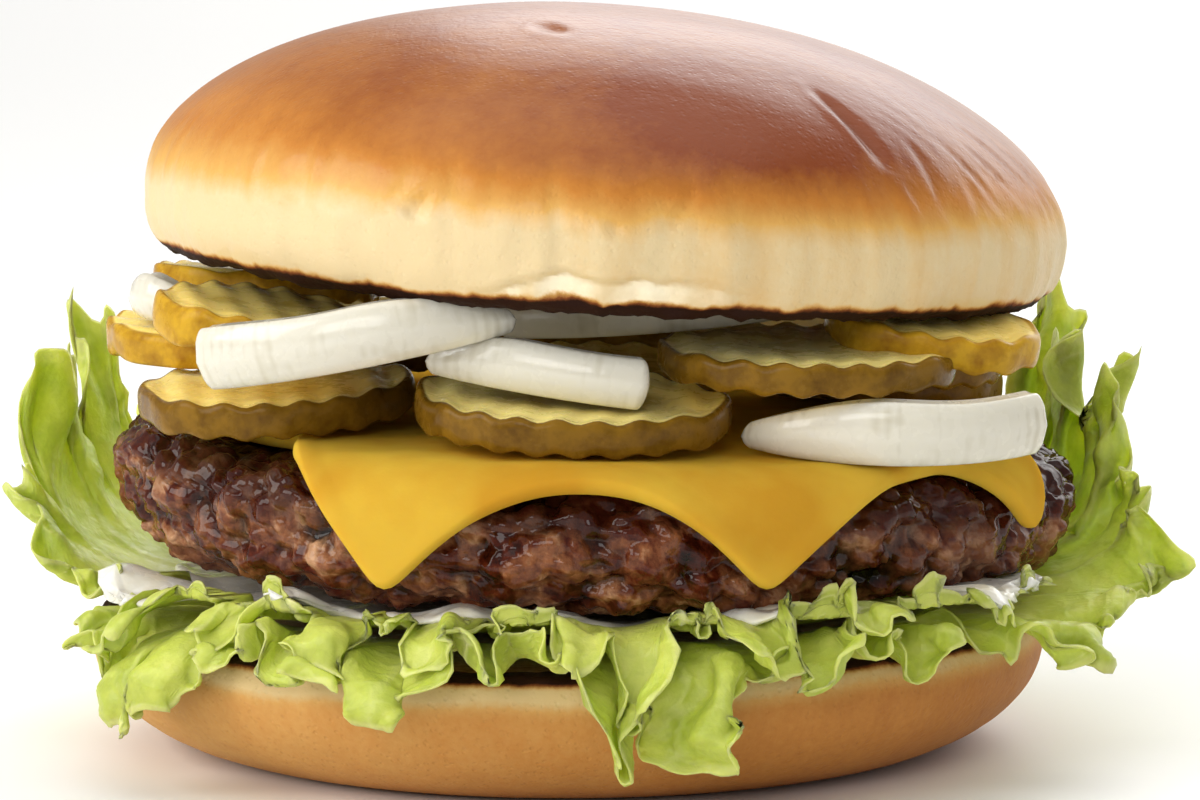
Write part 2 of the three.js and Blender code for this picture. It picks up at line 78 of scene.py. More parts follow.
def srgb(red: int, green: int, blue: int) -> Rgb:
    """Returns the linear colour of an 8-bit one."""
    shares = (value / 255 for value in (red, green, blue))
    return tuple(s / 12.92 if s <= 0.04045 else ((s + 0.055) / 1.055) ** 2.4 for s in shares)


def ease(value: np.ndarray, low: float = 0.0, high: float = 1.0) -> np.ndarray:
    """Eases from 0 to 1 as a value goes from low to high.

    Args:
        value: The values.
        low: Where the easing starts.
        high: Where it ends; it may be under low.

    Returns:
        The eased shares.
    """
    t = np.clip((value - low) / (high - low), 0, 1)
    return t * t * (3 - 2 * t)


def bell(
    value: np.ndarray, middle: np.ndarray | float, width: np.ndarray | float, power: int = 2
) -> np.ndarray:
    """A bell curve that is 1 at its middle.

    Args:
        value: The values.
        middle: Where the curve stands.
        width: How wide it is.
        power: 2, or more for a flatter top with steeper sides.

    Returns:
        Its height at each value.
    """
    return np.exp(-(((value - middle) / width) ** power))


def smoothed(values: np.ndarray, width: float, reach: int, ends: str) -> np.ndarray:
    """Evens out a row of values.

    Args:
        values: The values.
        width: The width of the bell that each value is spread over, in values.
        reach: Where that bell is cut off.
        ends: How the row goes on past its ends, "wrap" or "edge".

    Returns:
        As many values.
    """
    weights = bell(np.arange(-reach, reach + 1), 0, width)
    return np.convolve(np.pad(values, reach, mode=ends), weights / weights.sum(), mode="valid")


def uneven(angle: np.ndarray, harmonics: list[tuple[float, float, float]]) -> np.ndarray:
    """Sums harmonics (waves, size, phase) round a circle."""
    return sum(size * np.cos(waves * angle + phase) for waves, size, phase in harmonics)


def chance(i: np.ndarray, j: np.ndarray, k: np.ndarray, salt: float) -> np.ndarray:
    """Returns a repeatable random number from 0 to 1 for each cell of a lattice."""
    # the digits far behind the point of a large sine are as good as random
    wave = np.sin(i * 127.1 + j * 311.7 + k * 74.7 + salt * 53.3) * 43758.5453
    return wave - np.floor(wave)


def drift(points: Points, size: float, salt: float = 0) -> np.ndarray:
    """Smooth noise from -1 to 1.

    Args:
        points: Points in millimetres, in the last axis.
        size: How far apart its bumps are.
        salt: Which noise of that size.

    Returns:
        One value for each point.
    """
    q = points / size
    corner = np.floor(q)
    f = q - corner
    f = f * f * (3 - 2 * f)
    total = np.zeros(points.shape[:-1])
    for dx in (0, 1):
        for dy in (0, 1):
            for dz in (0, 1):
                share = (
                    (f[..., 0] if dx else 1 - f[..., 0])
                    * (f[..., 1] if dy else 1 - f[..., 1])
                    * (f[..., 2] if dz else 1 - f[..., 2])
                )
                x, y, z = corner[..., 0] + dx, corner[..., 1] + dy, corner[..., 2] + dz
                total += share * chance(x, y, z, salt + 7)
    return 2 * total - 1


def rough(points: Points, size: float, octaves: int = 3, salt: float = 0) -> np.ndarray:
    """Noise from about -1 to 1 with finer noise on it, each octave half as large as the one before."""
    parts = [drift(points, size / 2**n, salt + 3 * n) / 2**n for n in range(octaves)]
    return sum(parts) / (2 - 0.5 ** (octaves - 1))


def grains(points: Points, size: float, salt: float = 0) -> tuple[np.ndarray, np.ndarray]:
    """Finds the grain scattered in each cell of a lattice that lies nearest to each point.

    Args:
        points: Points in millimetres.
        size: The cells' size.
        salt: Which scattering.

    Returns:
        How far the nearest grain is, in cells, and a random number that belongs to it.
    """
    cell = points / size
    corner = np.floor(cell)
    nearest = np.full(points.shape[:-1], np.inf)
    tint = np.zeros(points.shape[:-1])
    for dx in (-1, 0, 1):
        for dy in (-1, 0, 1):
            for dz in (-1, 0, 1):
                x, y, z = corner[..., 0] + dx, corner[..., 1] + dy, corner[..., 2] + dz
                away = np.sqrt(
                    (x + chance(x, y, z, 1 + salt) - cell[..., 0]) ** 2
                    + (y + chance(x, y, z, 2 + salt) - cell[..., 1]) ** 2
                    + (z + chance(x, y, z, 3 + salt) - cell[..., 2]) ** 2
                )
                closer = away < nearest
                nearest = np.where(closer, away, nearest)
                tint = np.where(closer, chance(x, y, z, 4 + salt), tint)
    return nearest, tint


def unit(vectors: Points) -> Points:
    """Returns vectors at a length of 1."""
    return vectors / np.maximum(np.linalg.norm(vectors, axis=-1, keepdims=True), 1e-12)


def circle(columns: int) -> np.ndarray:
    """Returns evenly spaced angles all round, as one row."""
    return np.linspace(0, 2 * math.pi, columns, endpoint=False)[None, :]


def around(radius: np.ndarray, azimuth: np.ndarray, z: np.ndarray) -> Points:
    """Returns the points at a radius, azimuth and height."""
    return np.stack(np.broadcast_arrays(radius * np.sin(azimuth), -radius * np.cos(azimuth), z), axis=-1)


def read_round(table: np.ndarray, azimuth: np.ndarray) -> tuple[np.ndarray, np.ndarray, np.ndarray]:
    """Reads a table whose rows start with an azimuth in degrees, round the circle.

    Args:
        table: Its rows, in the order of their azimuths.
        azimuth: Azimuths in radians.

    Returns:
        The row before each azimuth, the row after it, and the share of the way between the two.
    """
    start = table[0, 0]
    turned = np.mod(np.degrees(azimuth) - start, 360)
    offsets = np.append(table[:, 0] - start, 360)
    low = np.clip(np.searchsorted(offsets, turned, side="right") - 1, 0, len(table) - 1)
    share = (turned - offsets[low]) / (offsets[low + 1] - offsets[low])
    return table[low], table[(low + 1) % len(table)], share


def turned(lean: float = 0, roll: float = 0, turn: float = 0) -> np.ndarray:
    """The matrix that turns a piece about the upright, rolls its right side down and leans its front down.

    Args:
        lean: Degrees about X.
        roll: Degrees about Y.
        turn: Degrees about Z, which comes first.

    Returns:
        A 3 by 3 matrix.
    """
    angles = (math.radians(degrees) for degrees in (lean, roll, turn))
    (cx, sx), (cy, sy), (cz, sz) = ((math.cos(angle), math.sin(angle)) for angle in angles)
    about_x = np.array([[1, 0, 0], [0, cx, -sx], [0, sx, cx]])
    about_y = np.array([[cy, 0, sy], [0, 1, 0], [-sy, 0, cy]])
    about_z = np.array([[cz, -sz, 0], [sz, cz, 0], [0, 0, 1]])
    return about_x @ about_y @ about_z


def quarter(steps: int, power: float) -> tuple[np.ndarray, np.ndarray]:
    """A quarter of a superellipse, from its end at 0 to its end at 1.

    Args:
        steps: How many steps it takes.
        power: 2 for a circle, more for a fuller curve.

    Returns:
        Its shares across and up.
    """
    angle = np.linspace(0, math.pi / 2, steps + 1)
    return np.maximum(np.cos(angle), 0) ** (2 / power), np.sin(angle) ** (2 / power)


# ------------------------------------------------------------------ skins


def outward(skin: Points) -> Points:
    """Returns the unit normals of a skin, which point out of it."""
    round_it = np.roll(skin, -1, axis=1) - np.roll(skin, 1, axis=1)
    return unit(np.cross(np.gradient(skin, axis=0), round_it)) * (1 if enclosed(skin) > 0 else -1)


def enclosed(skin: Points) -> float:
    """Tells which way the faces of a skin point.

    Args:
        skin: The skin.

    Returns:
        About six times the volume in it, negative where its faces would point inwards.
    """
    a, b = skin[:-1], skin[1:]
    c, d = np.roll(b, -1, axis=1), np.roll(a, -1, axis=1)
    middle = skin.reshape(-1, 3).mean(0)
    sides = np.einsum("ijk,ijk->", b - middle, np.cross(c - middle, a - middle)) + np.einsum(
        "ijk,ijk->", d - middle, np.cross(a - middle, c - middle)
    )
    return float(sides)


def skin_object(name: str, skin: Points, masks: Masks, material: Material) -> bpy.types.Object:
    """Makes a closed, smooth mesh from a skin.

    Args:
        name: The object's name.
        skin: Its rows of points, in millimetres.
        masks: What the finish reads.
        material: Its finish.

    Returns:
        The new object, in the scene.
    """
    rows, columns, _ = skin.shape
    ends = np.stack([skin[0].mean(0), skin[-1].mean(0)])
    vertices = np.vstack([skin.reshape(-1, 3), ends]) * METRES
    at = np.arange(rows * columns).reshape(rows, columns)
    beside = np.roll(at, -1, axis=1)
    quads = np.stack([at[:-1], at[1:], beside[1:], beside[:-1]], axis=-1).reshape(-1, 4)
    first, last = rows * columns, rows * columns + 1
    fans = np.vstack(
        [
            np.stack([at[0], beside[0], np.full(columns, first)], axis=-1),
            np.stack([beside[-1], at[-1], np.full(columns, last)], axis=-1),
        ]
    )
    if enclosed(skin) < 0:
        quads, fans = quads[:, ::-1], fans[:, ::-1]
    mesh = bpy.data.meshes.new(name)
    mesh.vertices.add(len(vertices))
    mesh.vertices.foreach_set("co", vertices.astype(np.float32).ravel())
    corners = np.concatenate([quads.ravel(), fans.ravel()])
    sizes = np.concatenate([np.full(len(quads), 4), np.full(len(fans), 3)])
    mesh.loops.add(len(corners))
    mesh.loops.foreach_set("vertex_index", corners.astype(np.int32))
    mesh.polygons.add(len(sizes))
    mesh.polygons.foreach_set("loop_start", np.concatenate([[0], np.cumsum(sizes)[:-1]]).astype(np.int32))
    mesh.update(calc_edges=True)
    mesh.validate()
    mesh.shade_smooth()
    for mask, values in masks.items():
        values = np.broadcast_to(values, (rows, columns))
        every = np.concatenate([values.ravel(), [values[0].mean(), values[-1].mean()]])
        mesh.attributes.new(mask, "FLOAT", "POINT").data.foreach_set("value", every.astype(np.float32))
    mesh.materials.append(material)
    piece = bpy.data.objects.new(name, mesh)
    bpy.context.scene.collection.objects.link(piece)
    return piece


def settled(skin: Points, node: str) -> Points:
    """Moves a skin up or down so that it stands at the height of the solid it dresses.

    Args:
        skin: The skin.
        node: The solid's name.

    Returns:
        The moved skin.
    """
    low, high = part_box(node)
    middle = (low.z + high.z) / 2 / METRES
    return skin + np.array([0, 0, middle - (skin[..., 2].min() + skin[..., 2].max()) / 2])


def dress(node: str, skin: Points, masks: Masks, material: Material) -> None:
    """Makes the piece that is shown for a solid.

    Args:
        node: The solid's name.
        skin: Its shape.
        masks: What the finish reads.
        material: Its finish.
    """
    piece = skin_object(f"{node}_look", skin, masks, material)
    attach(piece, "root")
    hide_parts(node)
    LOG.info("%s: %d faces", piece.name, len(piece.data.polygons))


# ------------------------------------------------------------------ finishes


class Nodes:
    """A node tree while it is being put together."""

    def __init__(self, tree: bpy.types.NodeTree) -> None:
        """Takes over a tree."""
        self.tree = tree

    def link(self, source: Socket | float | Rgb, socket: Socket) -> None:
        """Links a socket to another, or sets its value.

        Args:
            source: Another node's output, or a number or colour.
            socket: The input that takes it.
        """
        if isinstance(source, Socket):
            self.tree.links.new(source, socket)
        elif isinstance(source, tuple) and len(socket.default_value) == 4:
            socket.default_value = (*source, 1)
        else:
            socket.default_value = source

    def worked(self, operation: str, *terms: Socket | float) -> Socket:
        """Works out an operation on sockets and numbers.

        Args:
            operation: The maths node's name for it.
            terms: What it is worked on, in order.

        Returns:
            The result's socket.
        """
        node = self.tree.nodes.new("ShaderNodeMath")
        node.operation = operation
        for term, socket in zip(terms, node.inputs):
            self.link(term, socket)
        return node.outputs[0]

    def span(self, socket: Socket, low: float, high: float, start: float = 0, end: float = 1) -> Socket:
        """Eases from start to end as a socket goes from low to high.

        Args:
            socket: What is read.
            low: Where the easing starts.
            high: Where it ends; it may be under low.
            start: The result at low.
            end: The result at high.

        Returns:
            The result's socket.
        """
        node = self.tree.nodes.new("ShaderNodeMapRange")
        node.interpolation_type = "SMOOTHSTEP"
        self.link(socket, node.inputs["Value"])
        for name, value in (("From Min", low), ("From Max", high), ("To Min", start), ("To Max", end)):
            node.inputs[name].default_value = value
        return node.outputs["Result"]


class Recipe(Nodes):
    """A Principled material while it is being put together."""

    def __init__(self, name: str, **sockets: float | Rgb) -> None:
        """Starts a material.

        Args:
            name: Its name.
            sockets: What is the same all over, by the shader's own names with _ for a space.
        """
        self.material = bpy.data.materials.new(name)
        self.material.use_nodes = True
        super().__init__(self.material.node_tree)
        self.shader = self.tree.nodes["Principled BSDF"]
        for socket, value in sockets.items():
            self.link(value, self.shader.inputs[socket.replace("_", " ")])
        self.place = self.tree.nodes.new("ShaderNodeTexCoord").outputs["Object"]

    def mask(self, name: str) -> Socket:
        """Reads a mask of the mesh.

        Args:
            name: The mask's name.

        Returns:
            Its socket.
        """
        node = self.tree.nodes.new("ShaderNodeAttribute")
        node.attribute_name = name
        return node.outputs["Fac"]

    def stretched(self, across: float, along: float, up: float) -> Socket:
        """Stretches the object's coordinates, and with them the noise that reads them.

        Args:
            across: How many times along X.
            along: How many times along Y.
            up: How many times along Z.

        Returns:
            The coordinates' socket.
        """
        node = self.tree.nodes.new("ShaderNodeMapping")
        self.link(self.place, node.inputs["Vector"])
        node.inputs["Scale"].default_value = (1 / across, 1 / along, 1 / up)
        return node.outputs["Vector"]

    def noise(
        self,
        size: float,
        detail: float = 3,
        roughness: float = 0.5,
        where: Socket | None = None,
        warp: float = 0,
    ) -> Socket:
        """Noise from 0 to 1.

        Args:
            size: How far apart its bumps are, in millimetres.
            detail: How many finer octaves it has.
            roughness: How strong they are.
            where: The coordinates it reads, or the object's own.
            warp: How far it is distorted.

        Returns:
            Its socket.
        """
        node = self.tree.nodes.new("ShaderNodeTexNoise")
        self.link(where or self.place, node.inputs["Vector"])
        node.inputs["Scale"].default_value = 1 / (size * METRES)
        node.inputs["Detail"].default_value = detail
        node.inputs["Roughness"].default_value = roughness
        node.inputs["Distortion"].default_value = warp
        return node.outputs["Fac"]

    def cells(self, size: float, edges: bool = False) -> Socket:
        """Fills the surface with grains.

        Args:
            size: Their size, in millimetres.
            edges: Whether distances are from the seams between grains rather than from their middles.

        Returns:
            The socket of the distance, in grains.
        """
        node = self.tree.nodes.new("ShaderNodeTexVoronoi")
        node.feature = "DISTANCE_TO_EDGE" if edges else "F1"
        self.link(self.place, node.inputs["Vector"])
        node.inputs["Scale"].default_value = 1 / (size * METRES)
        return node.outputs["Distance"]

    def sum(self, *terms: tuple[Socket, float], base: float = 0) -> Socket:
        """Adds sockets up.

        Args:
            terms: The sockets, each with its weight.
            base: What they are added to.

        Returns:
            The sum's socket.
        """
        total: Socket | float = base
        for socket, weight in terms:
            total = self.worked("MULTIPLY_ADD", socket, weight, total)
        return total

    def ramp(self, socket: Socket, *stops: tuple[float, Rgb]) -> Socket:
        """Turns a share into a colour.

        Args:
            socket: The share.
            stops: Shares in rising order, each with its colour.

        Returns:
            The colour's socket.
        """
        node = self.tree.nodes.new("ShaderNodeValToRGB")
        self.link(socket, node.inputs["Fac"])
        elements = node.color_ramp.elements
        while len(elements) < len(stops):
            elements.new(0.5)
        for element, (share, colour) in zip(elements, stops):
            element.position = share
            element.color = (*colour, 1)
        return node.outputs["Color"]

    def mix(self, share: Socket, under: Socket | Rgb, over: Socket | Rgb) -> Socket:
        """Puts a share of one colour over another.

        Args:
            share: How much of the upper one shows.
            under: The lower colour.
            over: The upper colour.

        Returns:
            The mixed colour's socket.
        """
        node = self.tree.nodes.new("ShaderNodeMix")
        node.data_type = "RGBA"
        # by number, because the node's sockets for other kinds of data have the same names
        self.link(share, node.inputs[0])
        self.link(under, node.inputs[6])
        self.link(over, node.inputs[7])
        return node.outputs[2]

    def feed(self, name: str, source: Socket) -> None:
        """Links one of the shader's sockets."""
        self.link(source, self.shader.inputs[name])

    def polish(self, pattern: Socket, low: float, high: float) -> None:
        """Lets the roughness wander from low to high with a pattern."""
        self.feed("Roughness", self.span(pattern, 0.3, 0.7, low, high))

    def bump(self, *heights: tuple[Socket, float]) -> None:
        """Roughens the surface.

        Args:
            heights: Sockets of height, each with its depth in millimetres.
        """
        normal = None
        for height, depth in heights:
            node = self.tree.nodes.new("ShaderNodeBump")
            node.inputs["Strength"].default_value = 1
            node.inputs["Distance"].default_value = depth * METRES
            self.link(height, node.inputs["Height"])
            if normal:
                self.link(normal, node.inputs["Normal"])
            normal = node.outputs["Normal"]
        self.feed("Normal", normal)


@dataclass(frozen=True)
class CrustFinish:
    """Soft bun crust: cream where hardly baked, golden brown and glossy on top, charred where toasted, with
    painted light and shade in how baked it looks.
    """

    name: str
    pale: Rgb = srgb(214, 192, 148)
    gold: Rgb = srgb(208, 160, 84)
    brown: Rgb = srgb(184, 118, 46)
    deep: Rgb = srgb(126, 58, 17)
    crumb: Rgb = srgb(246, 234, 204)
    toasted: Rgb = srgb(124, 68, 32)
    charred: Rgb = srgb(38, 17, 8)
    gloss: float = 0.36  # roughness where it is baked
    coat: float = 0.32  # how much clear glaze is on it
    grain: float = 0.03  # how deep its pores are
    mottle: float = 0.1  # how uneven its finest colour is
    dimples: float = 0.22  # how uneven its surface is

    def make(self) -> Material:
        """Mixes the material.

        Returns:
            The material, which reads the masks bake, toast and crumb.
        """
        recipe = Recipe(
            self.name, Coat_Weight=self.coat, Coat_Roughness=0.18, Coat_IOR=1.45, Specular_IOR_Level=0.1,
            Subsurface_Weight=0.1, Subsurface_Radius=(1.0, 0.6, 0.3), Subsurface_Scale=0.002,
        )
        streaks = recipe.noise(2.6, 4, 0.6, recipe.stretched(1, 1, 5))
        blotches = recipe.noise(10, 4, 0.55)
        fine = recipe.noise(0.9, 3, 0.6)
        uneven_by = (blotches, 0.2), (streaks, 0.16), (fine, self.mottle)
        middle = -sum(weight for _, weight in uneven_by) / 2
        # the bake mask also carries painted light and shade: paler where the bun is lit from the left, darker
        # on its shaded right front
        bake = recipe.sum((recipe.mask("bake"), 1.0), *uneven_by, base=middle)
        shades = (0.03, self.pale), (0.32, self.gold), (0.62, self.brown), (0.97, self.deep)
        colour = recipe.ramp(bake, *shades)
        pits = recipe.span(recipe.cells(0.8), 0.06, 0.4)
        crumb = recipe.sum((recipe.mask("crumb"), 1.0), (recipe.noise(1.8, 3), 0.3), base=-0.15)
        colour = recipe.mix(recipe.span(crumb, 0.25, 0.7), colour, self.crumb)
        edge = recipe.sum((recipe.mask("toast"), 1.0), (recipe.noise(1.1, 4, 0.65), 0.4), base=-0.2)
        scorching = (0.0, self.gold), (0.4, self.toasted), (0.8, self.charred)
        scorched = recipe.ramp(recipe.span(edge, 0.2, 0.95), *scorching)
        colour = recipe.mix(recipe.span(edge, 0.1, 0.4), colour, scorched)
        recipe.feed("Base Color", colour)
        glazed = recipe.sum((bake, 1.0), (fine, 0.3))
        recipe.feed("Roughness", recipe.span(glazed, 0.3, 1.0, 0.66, self.gloss))
        recipe.feed("Coat Weight", recipe.span(edge, 0.15, 0.6, self.coat, 0.0))
        dimples = recipe.noise(4.5, 4, 0.6)
        recipe.bump((pits, self.grain), (fine, 0.05), (streaks, 0.1), (dimples, self.dimples))
        return recipe.material


@dataclass(frozen=True)
class BeefFinish:
    """Seared coarse-ground beef, wet with fat: near black where it stands out on top, brown and red below,
    with painted shade in its crevices and down its right-hand side.
    """

    name: str = "seared_beef"
    crevice: Rgb = srgb(12, 4, 2)
    red: Rgb = srgb(80, 29, 13)
    brown: Rgb = srgb(134, 82, 50)
    fat: Rgb = srgb(210, 165, 124)
    char: Rgb = srgb(46, 13, 6)

    def make(self) -> Material:
        """Mixes the material.

        Returns:
            The material, which reads the masks crest, char and grain.
        """
        recipe = Recipe(
            self.name, Coat_Weight=0.6, Coat_Roughness=0.06, Coat_IOR=1.42, Specular_IOR_Level=0.0,
            Subsurface_Weight=0.04, Subsurface_Radius=(1.0, 0.35, 0.15), Subsurface_Scale=0.001,
        )
        fine = recipe.noise(1.1, 5, 0.65, warp=0.4)
        patches = recipe.noise(5.5, 4, 0.6)
        meat = recipe.sum((recipe.mask("grain"), 0.55), (fine, 0.4), (patches, 0.35), base=-0.18)
        colour = recipe.ramp(meat, (0.12, self.crevice), (0.36, self.red), (0.6, self.brown), (0.9, self.fat))
        # painted shade: the colour darkens towards near black down in the crevices between the crests
        shade = recipe.sum((recipe.mask("crest"), 1.0), (fine, 0.25), base=-0.12)
        colour = recipe.mix(recipe.span(shade, 0.2, 0.74), self.crevice, colour)
        # seared char on top, and painted shade down the right-hand side, both in the char colour
        seared = recipe.sum((recipe.mask("char"), 1.0), (patches, 0.45), (fine, 0.3), base=-0.38)
        colour = recipe.mix(recipe.span(seared, 0.2, 0.85, 0.0, 0.85), colour, self.char)
        recipe.feed("Base Color", colour)
        recipe.polish(recipe.noise(2.4, 4, 0.6), 0.3, 0.62)
        recipe.bump((recipe.noise(0.7, 4, 0.7), 0.3), (recipe.cells(1.1), -0.45))
        return recipe.material


@dataclass(frozen=True)
class CheeseFinish:
    """Melted yellow cheese: satin, a little translucent."""

    name: str = "melted_cheese"
    yellow: Rgb = srgb(198, 160, 54)
    amber: Rgb = srgb(186, 138, 40)

    def make(self) -> Material:
        """Mixes the material.

        Returns:
            The material, which reads no mask.
        """
        recipe = Recipe(
            self.name, Specular_IOR_Level=0.0, Subsurface_Weight=0.35,
            Subsurface_Radius=(1.0, 0.55, 0.12), Subsurface_Scale=0.0035,
        )
        clouds = recipe.noise(12, 3, 0.5)
        recipe.feed("Base Color", recipe.ramp(clouds, (0.35, self.amber), (0.62, self.yellow)))
        recipe.polish(recipe.noise(4, 4, 0.55), 0.24, 0.36)
        recipe.bump((recipe.noise(3.2, 3, 0.5), 0.09), (recipe.noise(0.6, 2), 0.012))
        return recipe.material


class PickleTone(Enum):
    """The hues of the slices: the upper ones are from a yellower gherkin and are painted lighter, as painted
    light where they catch more light.
    """

    OLIVE = ("olive", srgb(126, 92, 22), srgb(88, 60, 10), srgb(250, 230, 142), srgb(226, 198, 98))
    GOLDEN = ("golden", srgb(192, 150, 36), srgb(146, 102, 22), srgb(244, 216, 120), srgb(222, 186, 78))


@dataclass(frozen=True)
class PickleFinish:
    """Crinkle-cut gherkin: wet, with an olive skin round a pale, watery face."""

    tone: PickleTone

    def make(self) -> Material:
        """Mixes the material.

        Returns:
            The material, which reads the masks skin and seeds.
        """
        label, skin, dark, face, ring = self.tone.value
        recipe = Recipe(
            f"pickle_{label}", Coat_Weight=0.12, Coat_Roughness=0.1, Coat_IOR=1.33, Specular_IOR_Level=0.08,
            Subsurface_Weight=0.3, Subsurface_Radius=(1.0, 0.8, 0.2), Subsurface_Scale=0.002,
        )
        blotches = recipe.noise(3.2, 4, 0.6)
        pale = recipe.sum((recipe.mask("seeds"), 0.5), (blotches, 0.7), base=-0.1)
        flesh = recipe.ramp(pale, (0.2, ring), (0.6, face))
        warts = recipe.sum((blotches, 0.8), (recipe.noise(0.9, 3), 0.3))
        rind = recipe.ramp(warts, (0.35, dark), (0.65, skin))
        colour = recipe.mix(recipe.span(recipe.mask("skin"), 0.3, 0.75), flesh, rind)
        recipe.feed("Base Color", colour)
        recipe.polish(blotches, 0.18, 0.38)
        recipe.bump((recipe.noise(1.8, 3, 0.6), 0.07), (recipe.noise(0.5, 2), 0.015))
        return recipe.material


@dataclass(frozen=True)
class OnionFinish:
    """Raw white onion: wet and translucent, with fine fibres up its walls."""

    name: str = "onion_flesh"
    white: Rgb = srgb(208, 204, 190)
    watery: Rgb = srgb(158, 148, 116)

    def make(self) -> Material:
        """Mixes the material.

        Returns:
            The material, which reads the mask fibre.
        """
        recipe = Recipe(
            self.name, Coat_Weight=0.45, Coat_Roughness=0.07, Specular_IOR_Level=0.3, Subsurface_Weight=0.5,
            Subsurface_Radius=(1.0, 0.95, 0.75), Subsurface_Scale=0.004,
        )
        veins = recipe.sum((recipe.mask("fibre"), 0.75), (recipe.noise(5, 3), 0.8), base=-0.45)
        recipe.feed("Base Color", recipe.ramp(veins, (0.2, self.watery), (0.6, self.white)))
        recipe.polish(recipe.noise(2.5, 3), 0.16, 0.34)
        recipe.bump((recipe.mask("fibre"), 0.05), (recipe.noise(1.8, 2), 0.05))
        return recipe.material


@dataclass(frozen=True)
class LeafFinish:
    """Frilly lettuce: bright yellow-green, pale at the rib, veins and margin, darker in patches."""

    name: str = "lettuce_leaf"
    pale: Rgb = srgb(236, 236, 172)
    bright: Rgb = srgb(212, 218, 114)
    green: Rgb = srgb(182, 194, 80)
    dark: Rgb = srgb(134, 148, 48)

    def make(self) -> Material:
        """Mixes the material.

        Returns:
            The material, which reads the masks along, vein and margin.
        """
        recipe = Recipe(
            self.name, Coat_Weight=0.12, Coat_Roughness=0.22, Specular_IOR_Level=0.3, Subsurface_Weight=0.5,
            Subsurface_Radius=(0.8, 1.0, 0.2), Subsurface_Scale=0.002,
        )
        patches = recipe.noise(7, 4, 0.6)
        small = recipe.noise(1.8, 4, 0.6)
        depth = recipe.sum((recipe.mask("along"), 0.5), (patches, 0.85), (small, 0.25), base=-0.3)
        shades = (0.05, self.pale), (0.3, self.bright), (0.62, self.green), (0.95, self.dark)
        colour = recipe.ramp(depth, *shades)
        colour = recipe.mix(recipe.span(recipe.mask("vein"), 0.2, 0.9, 0.0, 0.45), colour, self.pale)
        rim = recipe.sum((recipe.mask("margin"), 1.0), (small, 0.4), base=-0.2)
        colour = recipe.mix(recipe.span(rim, 0.35, 0.95, 0.0, 0.25), colour, self.pale)
        recipe.feed("Base Color", colour)
        recipe.polish(small, 0.36, 0.58)
        recipe.bump((recipe.cells(1.4, edges=True), -0.12), (recipe.mask("vein"), 0.22), (small, 0.16))
        return recipe.material


@dataclass(frozen=True)
class SauceFinish:
    """Creamy white sauce."""

    name: str = "white_sauce"
    white: Rgb = srgb(244, 241, 228)
    cream: Rgb = srgb(230, 222, 196)

    def make(self) -> Material:
        """Mixes the material.

        Returns:
            The material, which reads no mask.
        """
        recipe = Recipe(
            self.name, Coat_Weight=0.4, Coat_Roughness=0.1, Subsurface_Weight=0.4,
            Subsurface_Radius=(1.0, 0.9, 0.7), Subsurface_Scale=0.003,
        )
        recipe.feed("Base Color", recipe.ramp(recipe.noise(4, 3), (0.3, self.cream), (0.6, self.white)))
        recipe.polish(recipe.noise(3, 2), 0.2, 0.34)
        recipe.bump((recipe.noise(2.6, 3), 0.16))
        return recipe.material


# ------------------------------------------------------------------ the bun

BUN_OUTLINE = [(2, 0.006, 0.4), (3, 0.005, 1.9), (5, 0.003, 0.7)]  # waves, share of the radius, phase
PINHOLE = 0.4  # the radius of the innermost row of a bun's cut face or base, which a fan closes


